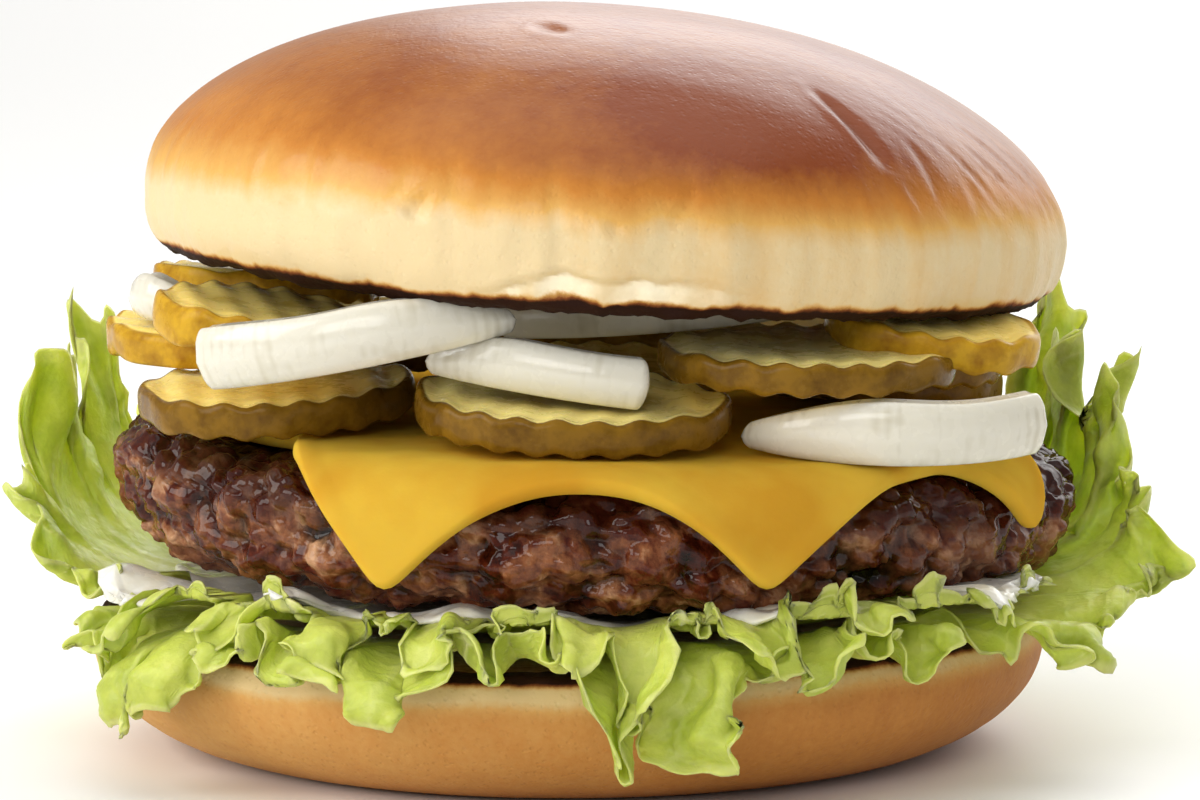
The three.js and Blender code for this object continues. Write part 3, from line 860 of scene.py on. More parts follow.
@dataclass
class Heel:
    """The lower half of the bun: a flat base, a round-bottomed side and a toasted cut face."""

    base_radius: float = 37.8
    radius: float = 54.7
    widest: float = 11.9
    cut_radius: float = 53.4
    height: float = 15.5
    fullness: float = 1.85
    brow: float = 0.6  # how far in from the cut edge its rounding starts
    columns: int = 380

    def profile(self) -> tuple[np.ndarray, np.ndarray]:
        """The line from the middle of the base round to the middle of the cut face.

        Returns:
            Its radii and heights, each as a column.
        """
        across, up = (share[::-1] for share in quarter(56, self.fullness))
        side_r = self.base_radius + (self.radius - self.base_radius) * across
        side_z = self.widest * (1 - up)
        brow = np.linspace(0, math.pi / 2, 14)[1:]
        flat = self.cut_radius - self.brow
        brow_r = flat + (self.radius - flat) * np.cos(brow) ** 0.9
        brow_z = self.widest + (self.height - self.widest) * np.sin(brow) ** 0.9
        base = np.linspace(PINHOLE, self.base_radius, 10)[:-1]
        cut = np.linspace(flat, PINHOLE, 30)[1:]
        radii = np.concatenate([base, side_r, brow_r, cut])
        heights = np.concatenate([base * 0, side_z, brow_z, cut * 0 + self.height])
        return radii[:, None], heights[:, None]

    def build(self, crust: Material) -> None:
        """Makes the heel.

        Args:
            crust: Its finish.
        """
        radii, heights = self.profile()
        azimuth = circle(self.columns)
        swell = 1 + uneven(azimuth, BUN_OUTLINE) * (heights / self.height)
        skin = around(radii * swell, azimuth, heights)
        facing = outward(skin)
        off_floor = ease(skin[..., 2], 0.2, 2.5)
        inner = ease(radii, self.cut_radius - 1, self.cut_radius - 5) * (heights > self.widest)
        edge = bell(heights, self.height, 0.9) * (radii > self.cut_radius - 3)
        lumps = 0.28 * rough(skin, 16, 3, 5) + 0.07 * rough(skin, 2.6, 3, 9)
        ragged = 0.3 * drift(skin, 2.1, 31) + 0.2 * drift(skin, 0.9, 33)
        crumb = -0.5 * np.abs(rough(skin, 3.2, 3, 13))
        skin = skin + facing * (off_floor * lumps + edge * ragged + inner * crumb)[..., None]
        share = skin[..., 2] / self.height
        band = ease(share, 0.66, 0.98) * (radii > self.cut_radius - 2)
        wander = 0.3 * rough(around(30, azimuth, 0 * azimuth) + 0 * skin, 9, 3, 21)
        # painted light: the left side is made less baked and paler, as if lit from the left
        left = 0.5 - 0.5 * np.sin(azimuth)
        bake = 0.66 - 0.62 * ease(band + wander, 0.1, 0.95) + 0.22 * ease(share, 0.22, 0.0)
        bake = bake + 0.1 - 0.42 * left
        toast = np.maximum(edge * (1.0 + 1.2 * wander), inner * (0.2 + 0.25 * ease(radii, 40, 52)))
        masks = {"bake": bake, "toast": toast, "crumb": inner * 0.6}
        dress("heel", skin, masks, crust)


@dataclass
class Crease:
    """A fold or dent in the crown's crust, as a line between two points of the dome."""

    start: tuple[float, float]  # azimuth in degrees, share of the dome's curve
    end: tuple[float, float]
    width: float
    depth: float

    def carve(self, azimuth: np.ndarray, share: np.ndarray, radius: float) -> np.ndarray:
        """How far it moves each point in, and how far the lip beside it moves out.

        Args:
            azimuth: The points' azimuths in radians.
            share: Their shares of the dome's curve.
            radius: The dome's radius.

        Returns:
            The move along the normal.
        """
        scale = np.array([0.9, 1.15]) * radius  # about how long a radian round the dome is, and the way up it
        flat = np.stack(np.broadcast_arrays(azimuth, share), axis=-1) * scale
        a, b = (np.array([math.radians(degrees), up]) * scale for degrees, up in (self.start, self.end))
        along = np.clip(((flat - a) @ (b - a)) / ((b - a) @ (b - a)), 0, 1)
        nearest = a + along[..., None] * (b - a)
        side = (flat[..., 0] - nearest[..., 0]) * np.sign((b - a)[1] or 1)
        away = np.linalg.norm(flat - nearest, axis=-1)
        taper = np.sin(math.pi * np.clip(along * 0.9 + 0.05, 0, 1)) ** 0.7
        lip = bell(side, 1.3 * self.width, self.width) * bell(away, 0, 2.5 * self.width, 4)
        return taper * self.depth * (0.45 * lip - bell(away, 0, self.width))


@dataclass
class Crown:
    """The upper half of the bun: a toasted underside, a rolled-under lip and a full, glossy dome."""

    x: float = 4.0
    radius: float = 52.8
    widest: float = 5.8
    cut_radius: float = 48.9
    height: float = 29.8
    fullness: float = 2.04
    hollow: float = 2.3
    sag: float = 1.5  # how far the lip hangs lower in front
    tear: float = 1.0  # the azimuth in degrees of the middle of the torn stretch of its lip
    tear_reach: float = 15.5  # degrees to each side
    seam: float = 3.9  # how high the tear goes
    lean: float = 3.0
    roll: float = 2.9
    noise_radius: float = 50.0  # of the upright wall whose noise streaks its lip
    columns: int = 430
    creases: list[Crease] = field(
        default_factory=lambda: [
            Crease((37.2, 0.46), (38.2, 0.23), 1.1, 0.75),
            Crease((39.5, 0.2), (41, 0.08), 0.7, 0.25),
            Crease((-15, 0.72), (-6, 0.69), 1.3, 0.5),
            Crease((-20.2, 0.11), (-22.5, 0.03), 0.8, 0.7),
            Crease((-24, 0.07), (-20.5, 0.02), 0.6, 0.35),
            Crease((10.8, 0.16), (6.3, 0.017), 0.35, 0.3),
            Crease((1.2, 0.06), (1.0, 0.01), 0.6, 0.5),
            Crease((-48, 0.16), (-47, 0.05), 0.7, 0.2),
            Crease((-62, 0.12), (-60, 0.02), 0.8, 0.3),
            Crease((-52, 0.1), (-53, 0.02), 0.7, 0.3),
            Crease((45, 0.3), (44, 0.08), 0.5, 0.28),
            Crease((52, 0.32), (56, 0.1), 0.55, 0.3),
            Crease((58, 0.3), (62, 0.12), 0.5, 0.3),
            Crease((63, 0.36), (68, 0.14), 0.6, 0.32),
            Crease((70, 0.3), (74, 0.1), 0.6, 0.3),
        ]
    )

    def profile(self) -> tuple[np.ndarray, np.ndarray, np.ndarray, np.ndarray]:
        """The line from the middle of the cut face round the lip to the middle of the dome.

        Returns:
            Its radii, heights, shares of the dome's curve, and whether it is on the cut face, as columns.
        """
        lip_across, lip_up = (share[::-1] for share in quarter(20, 2))
        dome_across, dome_up = (share[1:] for share in quarter(104, self.fullness))
        under = np.linspace(PINHOLE, self.cut_radius, 26)[:-1]
        cupped = ease(under, self.cut_radius, self.cut_radius - 9)
        under_z = self.hollow * (1 - 0.15 * under / (self.cut_radius - 8)) * cupped
        lip_r = self.cut_radius + (self.radius - self.cut_radius) * lip_across
        lip_z = self.widest * (1 - lip_up)
        dome_r = np.maximum(self.radius * dome_across, 0.3)
        dome_z = self.widest + (self.height - self.widest) * dome_up
        radii = np.concatenate([under, lip_r, dome_r])
        heights = np.concatenate([under_z, lip_z, dome_z])
        share = np.concatenate([under * 0, lip_up * 0, np.linspace(0, 1, len(dome_up))])
        below = np.arange(len(radii)) < len(under)
        return radii[:, None], heights[:, None], share[:, None], below[:, None]

    def build(self, crust: Material) -> None:
        """Makes the crown.

        Args:
            crust: Its finish.
        """
        radii, z, share, below = self.profile()
        azimuth = circle(self.columns)
        degrees = np.degrees(np.where(azimuth > math.pi, azimuth - 2 * math.pi, azimuth))
        skin = around(radii * (1 + 0.8 * uneven(azimuth, BUN_OUTLINE)), azimuth, z)
        skin[..., 0] -= self.lean * np.maximum(z - self.widest, 0) / (self.height - self.widest)
        facing = outward(skin)

        ring = around(np.full_like(azimuth, self.noise_radius), azimuth, azimuth * 0)
        wobble = rough(ring, 14, 3, 2)
        # noise on the upright wall through that ring: the less it changes with height, the longer its streaks
        streak, pucker, pleat = (
            drift(ring + np.array([0, 0, 1]) * z[..., None] * rise, size, salt)
            for rise, size, salt in ((0.12, 1.5, 4), (0.2, 5.5, 14), (0.1, 2.6, 24))
        )
        pleat = pleat * ease(share, 0.16, 0.0)
        band = ease(share, 0.34, 0.02) * ease(z, 0.4, 1.8) * ~below
        move = 0.35 * rough(skin, 21, 2, 6) * ease(z, 1.0, 5.0)
        move = move + band * (0.22 * streak + 0.26 * pucker + 0.16 * rough(skin, 2.6, 2, 8) + 0.14 * pleat)
        fold = np.abs(degrees + 0 * z)
        wrinkled = ease(fold, 36, 52) * ease(fold, 150, 110)
        wrinkled = wrinkled * ease(share, 0.02, 0.12) * ease(share, 0.62, 0.35)
        wrinkled = wrinkled * np.where(degrees > 0, 1.0, 0.3)
        gather = np.sin(0.8 * degrees + 9 * share + 4.5 * rough(skin, 9, 2, 12))
        move = move + wrinkled * 0.16 * (np.abs(gather) ** 0.6 - 0.6) * (0.5 + 0.5 * drift(skin, 8, 16))
        for crease in self.creases:
            move = move + crease.carve(np.radians(degrees), share, self.radius) * ~below
        torn = bell(degrees, self.tear, self.tear_reach, 6) * ease(z, 0.3, 0.9)
        seam = self.seam + 1.2 * drift(ring, 6, 41) + 0.7 * drift(ring, 1.8, 43)
        seam = seam - 1.2 * ((degrees - self.tear) / 15) ** 2
        flap = torn * ease(z, seam + 0.25, seam - 0.35)
        move = move - 0.3 * flap + 0.3 * torn * bell(z, seam + 0.6, 0.5)
        move = move - 0.35 * torn * bell(z, seam - 0.1, 0.25) + 0.75 * flap * rough(skin, 2.4, 3, 45)
        rim = bell(z, 0, 0.9) * ease(radii, self.cut_radius - 6, self.cut_radius)
        move = move + rim * (0.35 * drift(skin, 2.4, 51) + 0.25 * drift(skin, 0.9, 53))
        crumb = 0.35 * np.abs(rough(skin, 3.4, 3, 55)) * ease(radii, self.cut_radius, self.cut_radius - 4)
        move = move - below * crumb
        skin = skin + facing * move[..., None]

        # painted light: the left side is made less baked and paler, as if lit from the left
        left = bell(degrees, -70, 52)
        level = share - 0.02 * wobble + 0.014 * streak + 0.012 * pucker
        bake = 0.05 + 0.36 * ease(level, -0.01, 0.12) + 0.4 * ease(level, 0.05, 0.26)
        bake = bake + 0.1 * ease(level, 0.25, 0.45)
        bake = bake - 0.17 * left * ease(share, 0.9, 0.3) - 0.06 * pleat
        # painted shade: the front right, about 22 degrees round, is made more baked and darker
        bake = bake + 0.22 * bell(degrees, 22, 30) * bell(share, 0.3, 0.2)
        bake = np.where(below, 0.1, bake) + 0.06 * wobble * ease(share, 0.9, 0.5)
        jag = 1.5 + 0.45 * drift(ring, 3.1, 61) + 0.7 * np.maximum(drift(ring, 1.0, 63), 0) ** 2
        toast = np.where(below, 0.6 + 0.4 * ease(radii, 30, 47), ease(z, jag + 0.5, 0.35))
        masks = {"bake": bake, "toast": toast + 0 * share, "crumb": flap * (0.6 + 0.4 * drift(ring, 2.5, 47))}
        skin = settled(skin @ turned(roll=self.roll).T + np.array([self.x, 0, 0]), "crown")
        sag = self.sag * ease(degrees, -80, -8) * ease(degrees, 95, 60)
        skin[..., 2] -= sag * ease(z, 7, 1) * ease(radii, self.cut_radius - 10, self.cut_radius)
        dress("crown", skin, masks, crust)


# ------------------------------------------------------------------ patty and cheese


@dataclass
class Patty:
    """A coarse-ground patty: lumps with creases between them, grains on the lumps, a seared top."""

    x: float = 2.7
    bottom: float = 21.2
    roll: float = 1.4
    radius: float = 55.7
    flat_radius: float = 45.0
    thickness: float = 14.3
    lump: float = 7.5
    lump_depth: float = 2.1
    curl: float = 2.0  # how far its rim turns up at the left
    curl_azimuth: float = -78.0  # in degrees
    shoulder: float = 0.62  # the share of its height where it is widest
    slack: float = 0.4  # how far its underside sags
    brow: float = 4.0  # how much further out its upper face is flat
    grain_sizes: tuple[float, float] = (3.7, 1.55)
    grain_depths: tuple[float, float] = (1.9, 0.9)
    mean_depth: float = 0.8
    columns: int = 660

    def outline(self, azimuth: np.ndarray) -> np.ndarray:
        """Returns its radius at each azimuth, before its crags."""
        return self.radius * (1 + uneven(azimuth, [(2, 0.008, 1.2), (3, 0.007, 0.3), (7, 0.004, 2.1)]))

    def placed(self, skin: Points) -> Points:
        """Returns a skin moved from the patty's own place to the burger's."""
        return skin @ turned(roll=self.roll).T + np.array([self.x, 0, self.bottom])

    def profile(self) -> tuple[np.ndarray, np.ndarray]:
        """The line from the middle of the underside round to the middle of the top.

        Returns:
            Its radii and heights, each as a column.
        """
        reach = self.radius - self.flat_radius
        lower_across, lower_up = (share[::-1] for share in quarter(40, 2.7))
        upper_across, upper_up = (share[1:] for share in quarter(32, 2))
        under = np.linspace(0.5, self.flat_radius, 14)[:-1]
        top_radius = self.flat_radius + self.brow
        over = np.linspace(top_radius, 0.5, 24)[1:]
        lower_r = self.flat_radius + reach * lower_across
        upper_r = top_radius + (reach - self.brow) * upper_across
        lower_z = self.shoulder * self.thickness * (1 - lower_up) - self.slack * lower_up
        upper_z = self.thickness * (self.shoulder + (1 - self.shoulder) * upper_up)
        radii = np.concatenate([under, lower_r, upper_r, over])
        heights = np.concatenate([under * 0 - self.slack, lower_z, upper_z, over * 0 + self.thickness])
        return radii[:, None], heights[:, None]

    def build(self, beef: Material) -> None:
        """Makes the patty.

        Args:
            beef: Its finish.
        """
        radii, heights = self.profile()
        azimuth = circle(self.columns)
        envelope = around(radii + 0 * azimuth, azimuth, heights)
        warp = np.stack([drift(envelope, 5.0, salt) for salt in (71, 73, 75)], axis=-1)
        lumps, _ = grains(envelope + 0.7 * warp, self.lump)
        medium, tint = grains(envelope + 1.1 * warp, self.grain_sizes[0], 10)
        small, speck = grains(envelope + 0.5 * warp, self.grain_sizes[1], 20)
        depth = self.lump_depth * np.minimum(1.25 * lumps**1.5, 1.2)
        spread = self.outline(azimuth) / self.radius
        shy = 1 - depth / np.hypot(np.hypot(envelope[..., 0], envelope[..., 1]), 1)
        level = (envelope[..., 2] / self.thickness - 0.5) * 2
        rolled = np.maximum(np.cos(azimuth - math.radians(self.curl_azimuth)), 0) ** 5
        curled = self.curl * ease(radii, 46, 53) * rolled
        x, y, z = np.moveaxis(envelope, -1, 0)
        skin = np.stack([x * spread * shy, y * spread * shy, z - level * depth * 0.6 + curled], axis=-1)
        facing = outward(skin)
        crags = self.grain_depths[0] * np.minimum(medium, 1.05) ** 1.8
        crumbs = self.grain_depths[1] * np.minimum(small, 1.05) ** 1.7
        fine = crags + crumbs + 0.2 * rough(envelope, 1.1, 2, 81)
        outer = ease(radii, 20, 40)
        skin = skin - facing * ((fine - self.mean_depth) * (0.3 + 0.7 * outer))[..., None]
        # how far each point stands out of the crevices, which the finish darkens as painted shade
        crest = 1 - (0.4 * depth / 2.5 + 0.36 * medium + 0.24 * small)
        char = 0.85 * ease(envelope[..., 2] / self.thickness, 0.45, 0.95) + 0.25 * drift(envelope, 9, 83)
        # painted shade: the right-hand side is darkened with the char colour
        char = char + 0.35 * ease(np.sin(azimuth), 0.3, 0.95)
        crest = np.clip(1.5 * crest - 0.12, 0, 1)
        masks = {"crest": crest, "char": np.clip(char, 0, 1), "grain": 0.6 * tint + 0.4 * speck}
        dress("patty", self.placed(skin), masks, beef)


@dataclass
class Cheese:
    """Melted slices: flat on the patty, bent over its rim, with their corners hanging down the side."""

    patty: Patty
    thickness: float = 1.7
    bend_radius: float = 6.5
    hang: float = math.radians(82)
    clearance: float = 0.9
    gap: float = 0.3
    plain: float = 38.0  # how far from the middle its rows are few
    columns: int = 500
    # azimuth, distance from the middle along the sheet, how sharply the corner there or next stands out
    edge: np.ndarray = field(
        default_factory=lambda: np.array(
            [
                [-20.8, 68, 2.1], [0, 55.3, 2.1], [17.9, 66, 1.8], [46, 51.5, 1.2],
                [57, 61.5, 1.3], [66, 49, 3], [130, 62, 1.8], [144, 54, 1.8],
                [160, 67, 1.8], [178, 55, 1.8], [200, 65, 1.6], [224, 53, 1.6],
                [247, 56, 1.4], [272, 44, 1], [315, 44, 1], [322, 51, 1.1],
            ]
        )
    )

    def reach(self, azimuth: np.ndarray) -> np.ndarray:
        """Reads the edge, with its corners a little rounded.

        Args:
            azimuth: Evenly spaced azimuths all round, in radians.

        Returns:
            How far the cheese reaches at each.
        """
        low, high, share = read_round(self.edge, azimuth)
        first = low[:, 1] > high[:, 1]
        corner, hollow = np.where(first, low[:, 1], high[:, 1]), np.where(first, high[:, 1], low[:, 1])
        near = np.where(first, 1 - share, share)
        sharp = hollow + (corner - hollow) * near ** low[:, 2]
        return smoothed(sharp, 2.2, 10, "wrap")

    def build(self, melted: Material) -> None:
        """Makes the cheese.

        Args:
            melted: Its finish.
        """
        azimuth = circle(self.columns)
        reach = self.reach(azimuth[0])[None, :]
        half = self.thickness / 2
        first = np.minimum(self.plain, 0.85 * reach)
        inner = np.linspace(0.01, 1, 9)[:-1, None] * first
        outer = first + np.linspace(0, 1, 44)[:, None] ** 0.9 * (reach - first)
        over = np.vstack([inner, outer])
        under = over[::-1][::2]
        rounding = np.linspace(0, math.pi, 11)[1:-1]
        distance = np.vstack([over, np.repeat(reach, len(rounding), axis=0), under])
        flat_over, flat_under = np.zeros(len(over)), np.zeros(len(under))
        ups = np.concatenate([flat_over + 1, np.cos(rounding), flat_under - 1])[:, None]
        outs = np.concatenate([flat_over, np.sin(rounding), flat_under])[:, None]

        rim = self.patty.outline(azimuth) + self.clearance + half - self.bend_radius
        bent = np.clip((distance - rim) / self.bend_radius, 0, self.hang)
        hung = np.maximum(distance - rim - self.bend_radius * self.hang, 0)
        r = np.minimum(distance, rim) + self.bend_radius * np.sin(bent) + hung * math.cos(self.hang)
        drop = self.bend_radius * (1 - np.cos(bent))
        z = self.patty.thickness + self.gap + half - drop - hung * math.sin(self.hang)
        bead = 1 + 0.22 * ease(distance, reach - 3.2, reach - 0.6)
        sag = 0.35 * ease(distance, 40, 52)
        middle = around(r, azimuth, z)
        wave = sag * (drift(middle, 13, 91) + 0.4 * drift(middle, 5, 93))
        flip = 0.05 * hung  # a hanging corner stands off a little at its tip
        thick = half * bead * ups + wave + flip
        wide = half * outs
        r = r + np.sin(bent) * thick + np.cos(bent) * wide
        skin = around(r, azimuth, z + np.cos(bent) * thick - np.sin(bent) * wide)
        dress("cheese", self.patty.placed(skin), {}, melted)


# ------------------------------------------------------------------ salad and sauce


LEAF_RADIUS = 62.0  # lengths along a leaf's margin are measured there
LEAF_LENGTH = 38.0  # from the salad's root to its margin


@dataclass
class Skirt:
    """The salad's middle surface: it runs out from under the patty and ends in a ruffled margin."""

    root_radius: float = 41.0
    root_height: float = 16.6
    layer_height: float = 1.55
    layer_swell: float = 2.5  # how much further apart layers are where they come out from under the patty
    folds: float = 27.0
    fold_depth: float = 2.6
    fold_lean: float = 1.5
    # azimuth, knee radius, knee height, margin radius, margin height
    margin: np.ndarray = field(
        default_factory=lambda: np.array(
            [
                [-90, 59, 18, 63.5, 30], [-80, 57, 18.5, 58, 23], [-71, 60, 19.5, 56.5, 13],
                [-60, 61, 19.5, 61, 8], [-45, 61, 19.5, 61, 11], [-32, 61, 19.5, 62, 13],
                [-26, 61, 19.5, 62, 16], [-20, 61, 19.5, 61, 11], [-12, 61, 19.5, 62, 15.5],
                [-5, 61, 19.5, 63, 15.5], [2, 61, 19.5, 62, 9.5], [12, 61, 19.5, 62, 9],
                [20, 61, 19.5, 63, 16], [32, 61, 19.5, 63, 17], [42, 61, 19.5, 63, 15],
                [50, 62, 19, 64, 14], [60, 64, 19, 64, 11], [68, 65, 18.5, 65, 16],
                [78, 66, 18, 67.8, 20], [90, 66, 17, 68, 30], [104, 66, 17, 66.5, 41],
                [117, 67, 17, 68, 48], [132, 66, 17, 66, 40], [150, 63, 18, 66, 22],
                [170, 61, 19.5, 64, 13], [190, 61, 19.5, 64, 11], [212, 63, 18, 66, 22],
                [230, 66, 17, 66, 42], [246, 66, 17, 67.5, 48], [258, 64, 16, 63.5, 40],
            ]
        )
    )

    def path(self, azimuth: np.ndarray, along: np.ndarray) -> tuple[np.ndarray, np.ndarray]:
        """The line that it follows outwards, before its folds.

        Args:
            azimuth: Azimuths in radians.
            along: Shares of the way from the root to the margin.

        Returns:
            Its radii and heights.
        """
        azimuth, along = np.broadcast_arrays(azimuth, along)
        low, high, share = read_round(self.margin, azimuth.ravel())
        eased = ease(share)[:, None]
        row = low[:, 1:] + (high[:, 1:] - low[:, 1:]) * eased
        knee_r, knee_z, margin_r, margin_z = row.T.reshape(4, *azimuth.shape)
        t = np.maximum(along, 0)
        r = (1 - t) ** 2 * self.root_radius + 2 * t * (1 - t) * knee_r + t**2 * margin_r
        z = (1 - t) ** 2 * self.root_height + 2 * t * (1 - t) * knee_z + t**2 * margin_z
        return r, z

    def fold(
        self, azimuth: np.ndarray, along: np.ndarray, bend: np.ndarray
    ) -> tuple[np.ndarray, np.ndarray]:
        """Its folds.

        Args:
            azimuth: Azimuths in radians.
            along: Shares of the way from the root to the margin.
            bend: How far the folds are shifted, in radians of their own.

        Returns:
            How far they stand off the line, and how far they lean to the side.
        """
        t = np.maximum(along, 0)
        phase = self.folds * azimuth + 1.4 * np.sin(3 * azimuth + 0.7) + 0.9 * np.sin(7 * azimuth + 2) + bend
        depth = self.fold_depth * t**1.15 * (0.8 + 0.2 * np.sin(5 * azimuth + 1))
        return depth * np.sin(phase), self.fold_lean * t**1.6 * np.sin(2 * phase)


@dataclass(frozen=True)
class Lobe:
    """A lobe of a leaf's margin."""

    start: float  # azimuth in degrees; it ends where the next one starts
    reach: float  # its share of the way to the salad's margin
    curl: float = 0.0  # how far its margin turns up, in radians


def lobes(*rows: tuple[float, float, float]) -> list[Lobe]:
    """Makes lobes from rows of start, reach and curl."""
    return [Lobe(*row) for row in rows]


@dataclass
class Leaf:
    """One leaf: a stretch of the salad with a lobed, frilled and curled margin and raised veins."""

    skirt: Skirt
    node: str
    lobes: list[Lobe]
    end: float  # azimuth in degrees
    layer: float = 0.0
    frill: float = 1.0
    gain: float = 1.0  # of its folds
    notch: float = 0.34  # the share of its reach that it lacks between two lobes
    thickness: float = 0.42
    rib_pitch: float = 10.5  # degrees from one rib to the next
    rib_gap: float = 11.0  # about the same in millimetres
    twig_gap: float = 4.8  # from one side vein to the next
    rows: int = 40
    fineness: float = 3.4  # columns to a degree
    # pitch, depth, share of the leaf where they start, which noise
    ruffles: tuple[tuple[float, float, float, int], ...] = ((7.4, 1.75, 0.3, 141), (3.3, 0.7, 0.62, 151))

    def margin(self, degrees: np.ndarray) -> tuple[np.ndarray, np.ndarray]:
        """Reads the lobes.

        Args:
            degrees: Evenly spaced azimuths.

        Returns:
            How far the leaf reaches at each of them, and how far its margin curls.
        """
        starts = np.array([lobe.start for lobe in self.lobes] + [self.end])
        which = np.clip(np.searchsorted(starts, degrees, side="right") - 1, 0, len(self.lobes) - 1)
        across = 2 * (degrees - starts[which]) / (starts[which + 1] - starts[which]) - 1
        reach = np.array([lobe.reach for lobe in self.lobes])[which]
        reach = reach * (1 - self.notch * np.abs(across) ** 3.5)
        curl = np.array([lobe.curl for lobe in self.lobes])[which]
        reach, curl = (
            smoothed(values, width, math.ceil(3 * width), "edge")
            for values, width in ((reach, 0.55 * self.fineness), (curl, 1.6 * self.fineness))
        )
        return reach, curl

    def middle(self, azimuth: np.ndarray, over: np.ndarray, reach: np.ndarray, curl: np.ndarray) -> Points:
        """The leaf's middle surface.

        Args:
            azimuth: Its columns' azimuths in radians, as a column vector.
            over: Its rows' shares of the leaf, as a row vector.
            reach: How far each column reaches.
            curl: How far each column's margin curls.

        Returns:
            Its points.
        """
        along = over * reach
        r, z = self.skirt.path(azimuth, along)
        step_r, step_z = np.diff(r, axis=1), np.diff(z, axis=1)
        size = np.hypot(step_r, step_z)
        lay = around(LEAF_RADIUS, azimuth, along * LEAF_LENGTH)
        droop = 0.5 * drift(lay, 13, 131 + self.layer) * over**2
        heading = np.arctan2(step_z, step_r) + (curl * ease(over, 0.5, 1.0) + droop)[:, 1:]
        r = np.concatenate([r[:, :1], r[:, :1] + np.cumsum(size * np.cos(heading), axis=1)], axis=1)
        z = np.concatenate([z[:, :1], z[:, :1] + np.cumsum(size * np.sin(heading), axis=1)], axis=1)
        heading = np.concatenate([heading[:, :1], heading], axis=1)

        off, lean = self.skirt.fold(azimuth, along, 1.3 * drift(lay, 15, 133) * over)
        off = off * self.gain * (1 + 0.45 * drift(lay, 19, 135 + self.layer))
        arc = azimuth * LEAF_RADIUS
        for pitch, depth, first, salt in self.ruffles:
            shift = 0.45 * drift(lay, 1.6 * pitch, salt + self.layer)
            shift = shift + 0.2 * drift(lay, 0.8 * pitch, salt + 2)
            phase = 2 * math.pi * (arc / pitch + shift)
            patchy = 0.8 + 0.45 * drift(lay, 2.2 * pitch, salt + 4 + self.layer)
            strength = self.frill * ease(over, first, 1.0) * patchy
            off = off + depth * strength * np.sin(phase)
            lean = lean - 0.105 * pitch * strength * np.sin(2 * phase)
        swell = self.skirt.layer_swell * ease(along, 0.06, 0.3) * ease(along, 0.85, 0.5)
        swell = swell * (0.75 + 0.45 * drift(lay, 8, 163))
        off = off + self.layer * (self.skirt.layer_height + swell)
        off = off + 0.14 * drift(lay, 2.6, 161) * ease(over, 0.1, 0.5)
        sideways = azimuth + lean / np.maximum(r, 1)
        return self.clear(around(r - np.sin(heading) * off, sideways, z + np.cos(heading) * off))

    def clear(self, points: Points) -> Points:
        """Pushes points out of the bun below and of the patty beside them.

        Args:
            points: The leaf's points.

        Returns:
            The points, none of them in the bun or the patty.
        """
        r, z = np.hypot(points[..., 0], points[..., 1]), points[..., 2]
        heel, patty = Heel(), Patty()
        down = np.clip(1 - z / heel.widest, 0, 1)
        round_side = (1 - down**heel.fullness) ** (1 / heel.fullness)
        side = heel.base_radius + (heel.radius - heel.base_radius) * round_side
        bun = np.where(z < heel.height + 0.1, side + 0.6 + 0.5 * self.layer, 0)
        sideways = points[..., 0] / np.maximum(r, 1)
        beef = np.where(z > patty.bottom + 0.3, patty.radius + 1.5 + patty.x * sideways, 0)
        factor = np.maximum(np.maximum(bun, beef) / np.maximum(r, 1), 1)
        return points * np.stack([factor, factor, np.ones_like(factor)], axis=-1)

    def veins(
        self, degrees: np.ndarray, middle: Points, over: np.ndarray, along: np.ndarray
    ) -> np.ndarray:
        """Finds the ribs, which run to the margin, and the side veins between them.

        Args:
            degrees: Its columns' azimuths, as a column vector.
            middle: The leaf's middle surface.
            over: Its rows' shares of the leaf, as a row vector.
            along: Its points' shares of the way to the salad's margin.

        Returns:
            How much of a vein each point is, from 0 to 1.
        """
        ring = around(LEAF_RADIUS, np.radians(degrees), 0)
        beside = degrees / self.rib_pitch + 0.35 * drift(ring, 21, 107) + 0.1 * drift(middle, 9, 108)
        across = np.abs(beside - np.round(beside)) * self.rib_gap
        rib = bell(across, 0, 0.75 - 0.45 * over)
        branch = (along * LEAF_LENGTH - 0.95 * across) / self.twig_gap + 0.3 * drift(middle, 7, 109)
        twig = bell((branch - np.round(branch)) * self.twig_gap, 0, 0.42) * ease(over, 0.1, 0.35)
        return np.clip(rib + 0.6 * twig, 0, 1)

    def build(self, green: Material) -> None:
        """Makes the leaf.

        Args:
            green: Its finish.
        """
        start = self.lobes[0].start
        columns = int((self.end - start) * self.fineness)
        u = np.linspace(0, 1, columns)
        degrees = start + (self.end - start) * u
        reach, curl = self.margin(degrees)
        azimuth = np.radians(degrees)[:, None]
        ring = around(LEAF_RADIUS, azimuth, 0)
        ragged = 1 + 0.06 * drift(ring, 2.4, 101 + self.layer) + 0.045 * drift(ring, 1.1, 103)
        reach = (reach * (1 - 0.5 * np.abs(2 * u - 1) ** 10))[:, None] * ragged
        over = (np.linspace(0, 1, self.rows) ** 0.85)[None, :]
        middle = self.middle(azimuth, over, reach, curl[:, None])
        vein = self.veins(degrees[:, None], middle, over, over * reach)

        facing = unit(np.cross(np.gradient(middle, axis=0), np.gradient(middle, axis=1)))
        half = (self.thickness * (1 - 0.5 * over**3) * 0.5 + 0.1 * vein)[..., None]
        tip = middle[:, -1:] + 0.35 * (middle[:, -1:] - middle[:, -2:-1])
        skin = np.concatenate([middle + facing * half, tip, (middle - facing * half)[:, ::-1]], axis=1)
        there = np.concatenate([over, [[1.0]], over[:, ::-1]], axis=1) + 0 * azimuth
        masks = {
            "along": there,
            "vein": np.concatenate([vein, vein[:, -1:] * 0, 0.5 * vein[:, ::-1]], axis=1),
            "margin": ease(there, 0.93, 1.0),
        }
        dress(self.node, skin, masks, green)


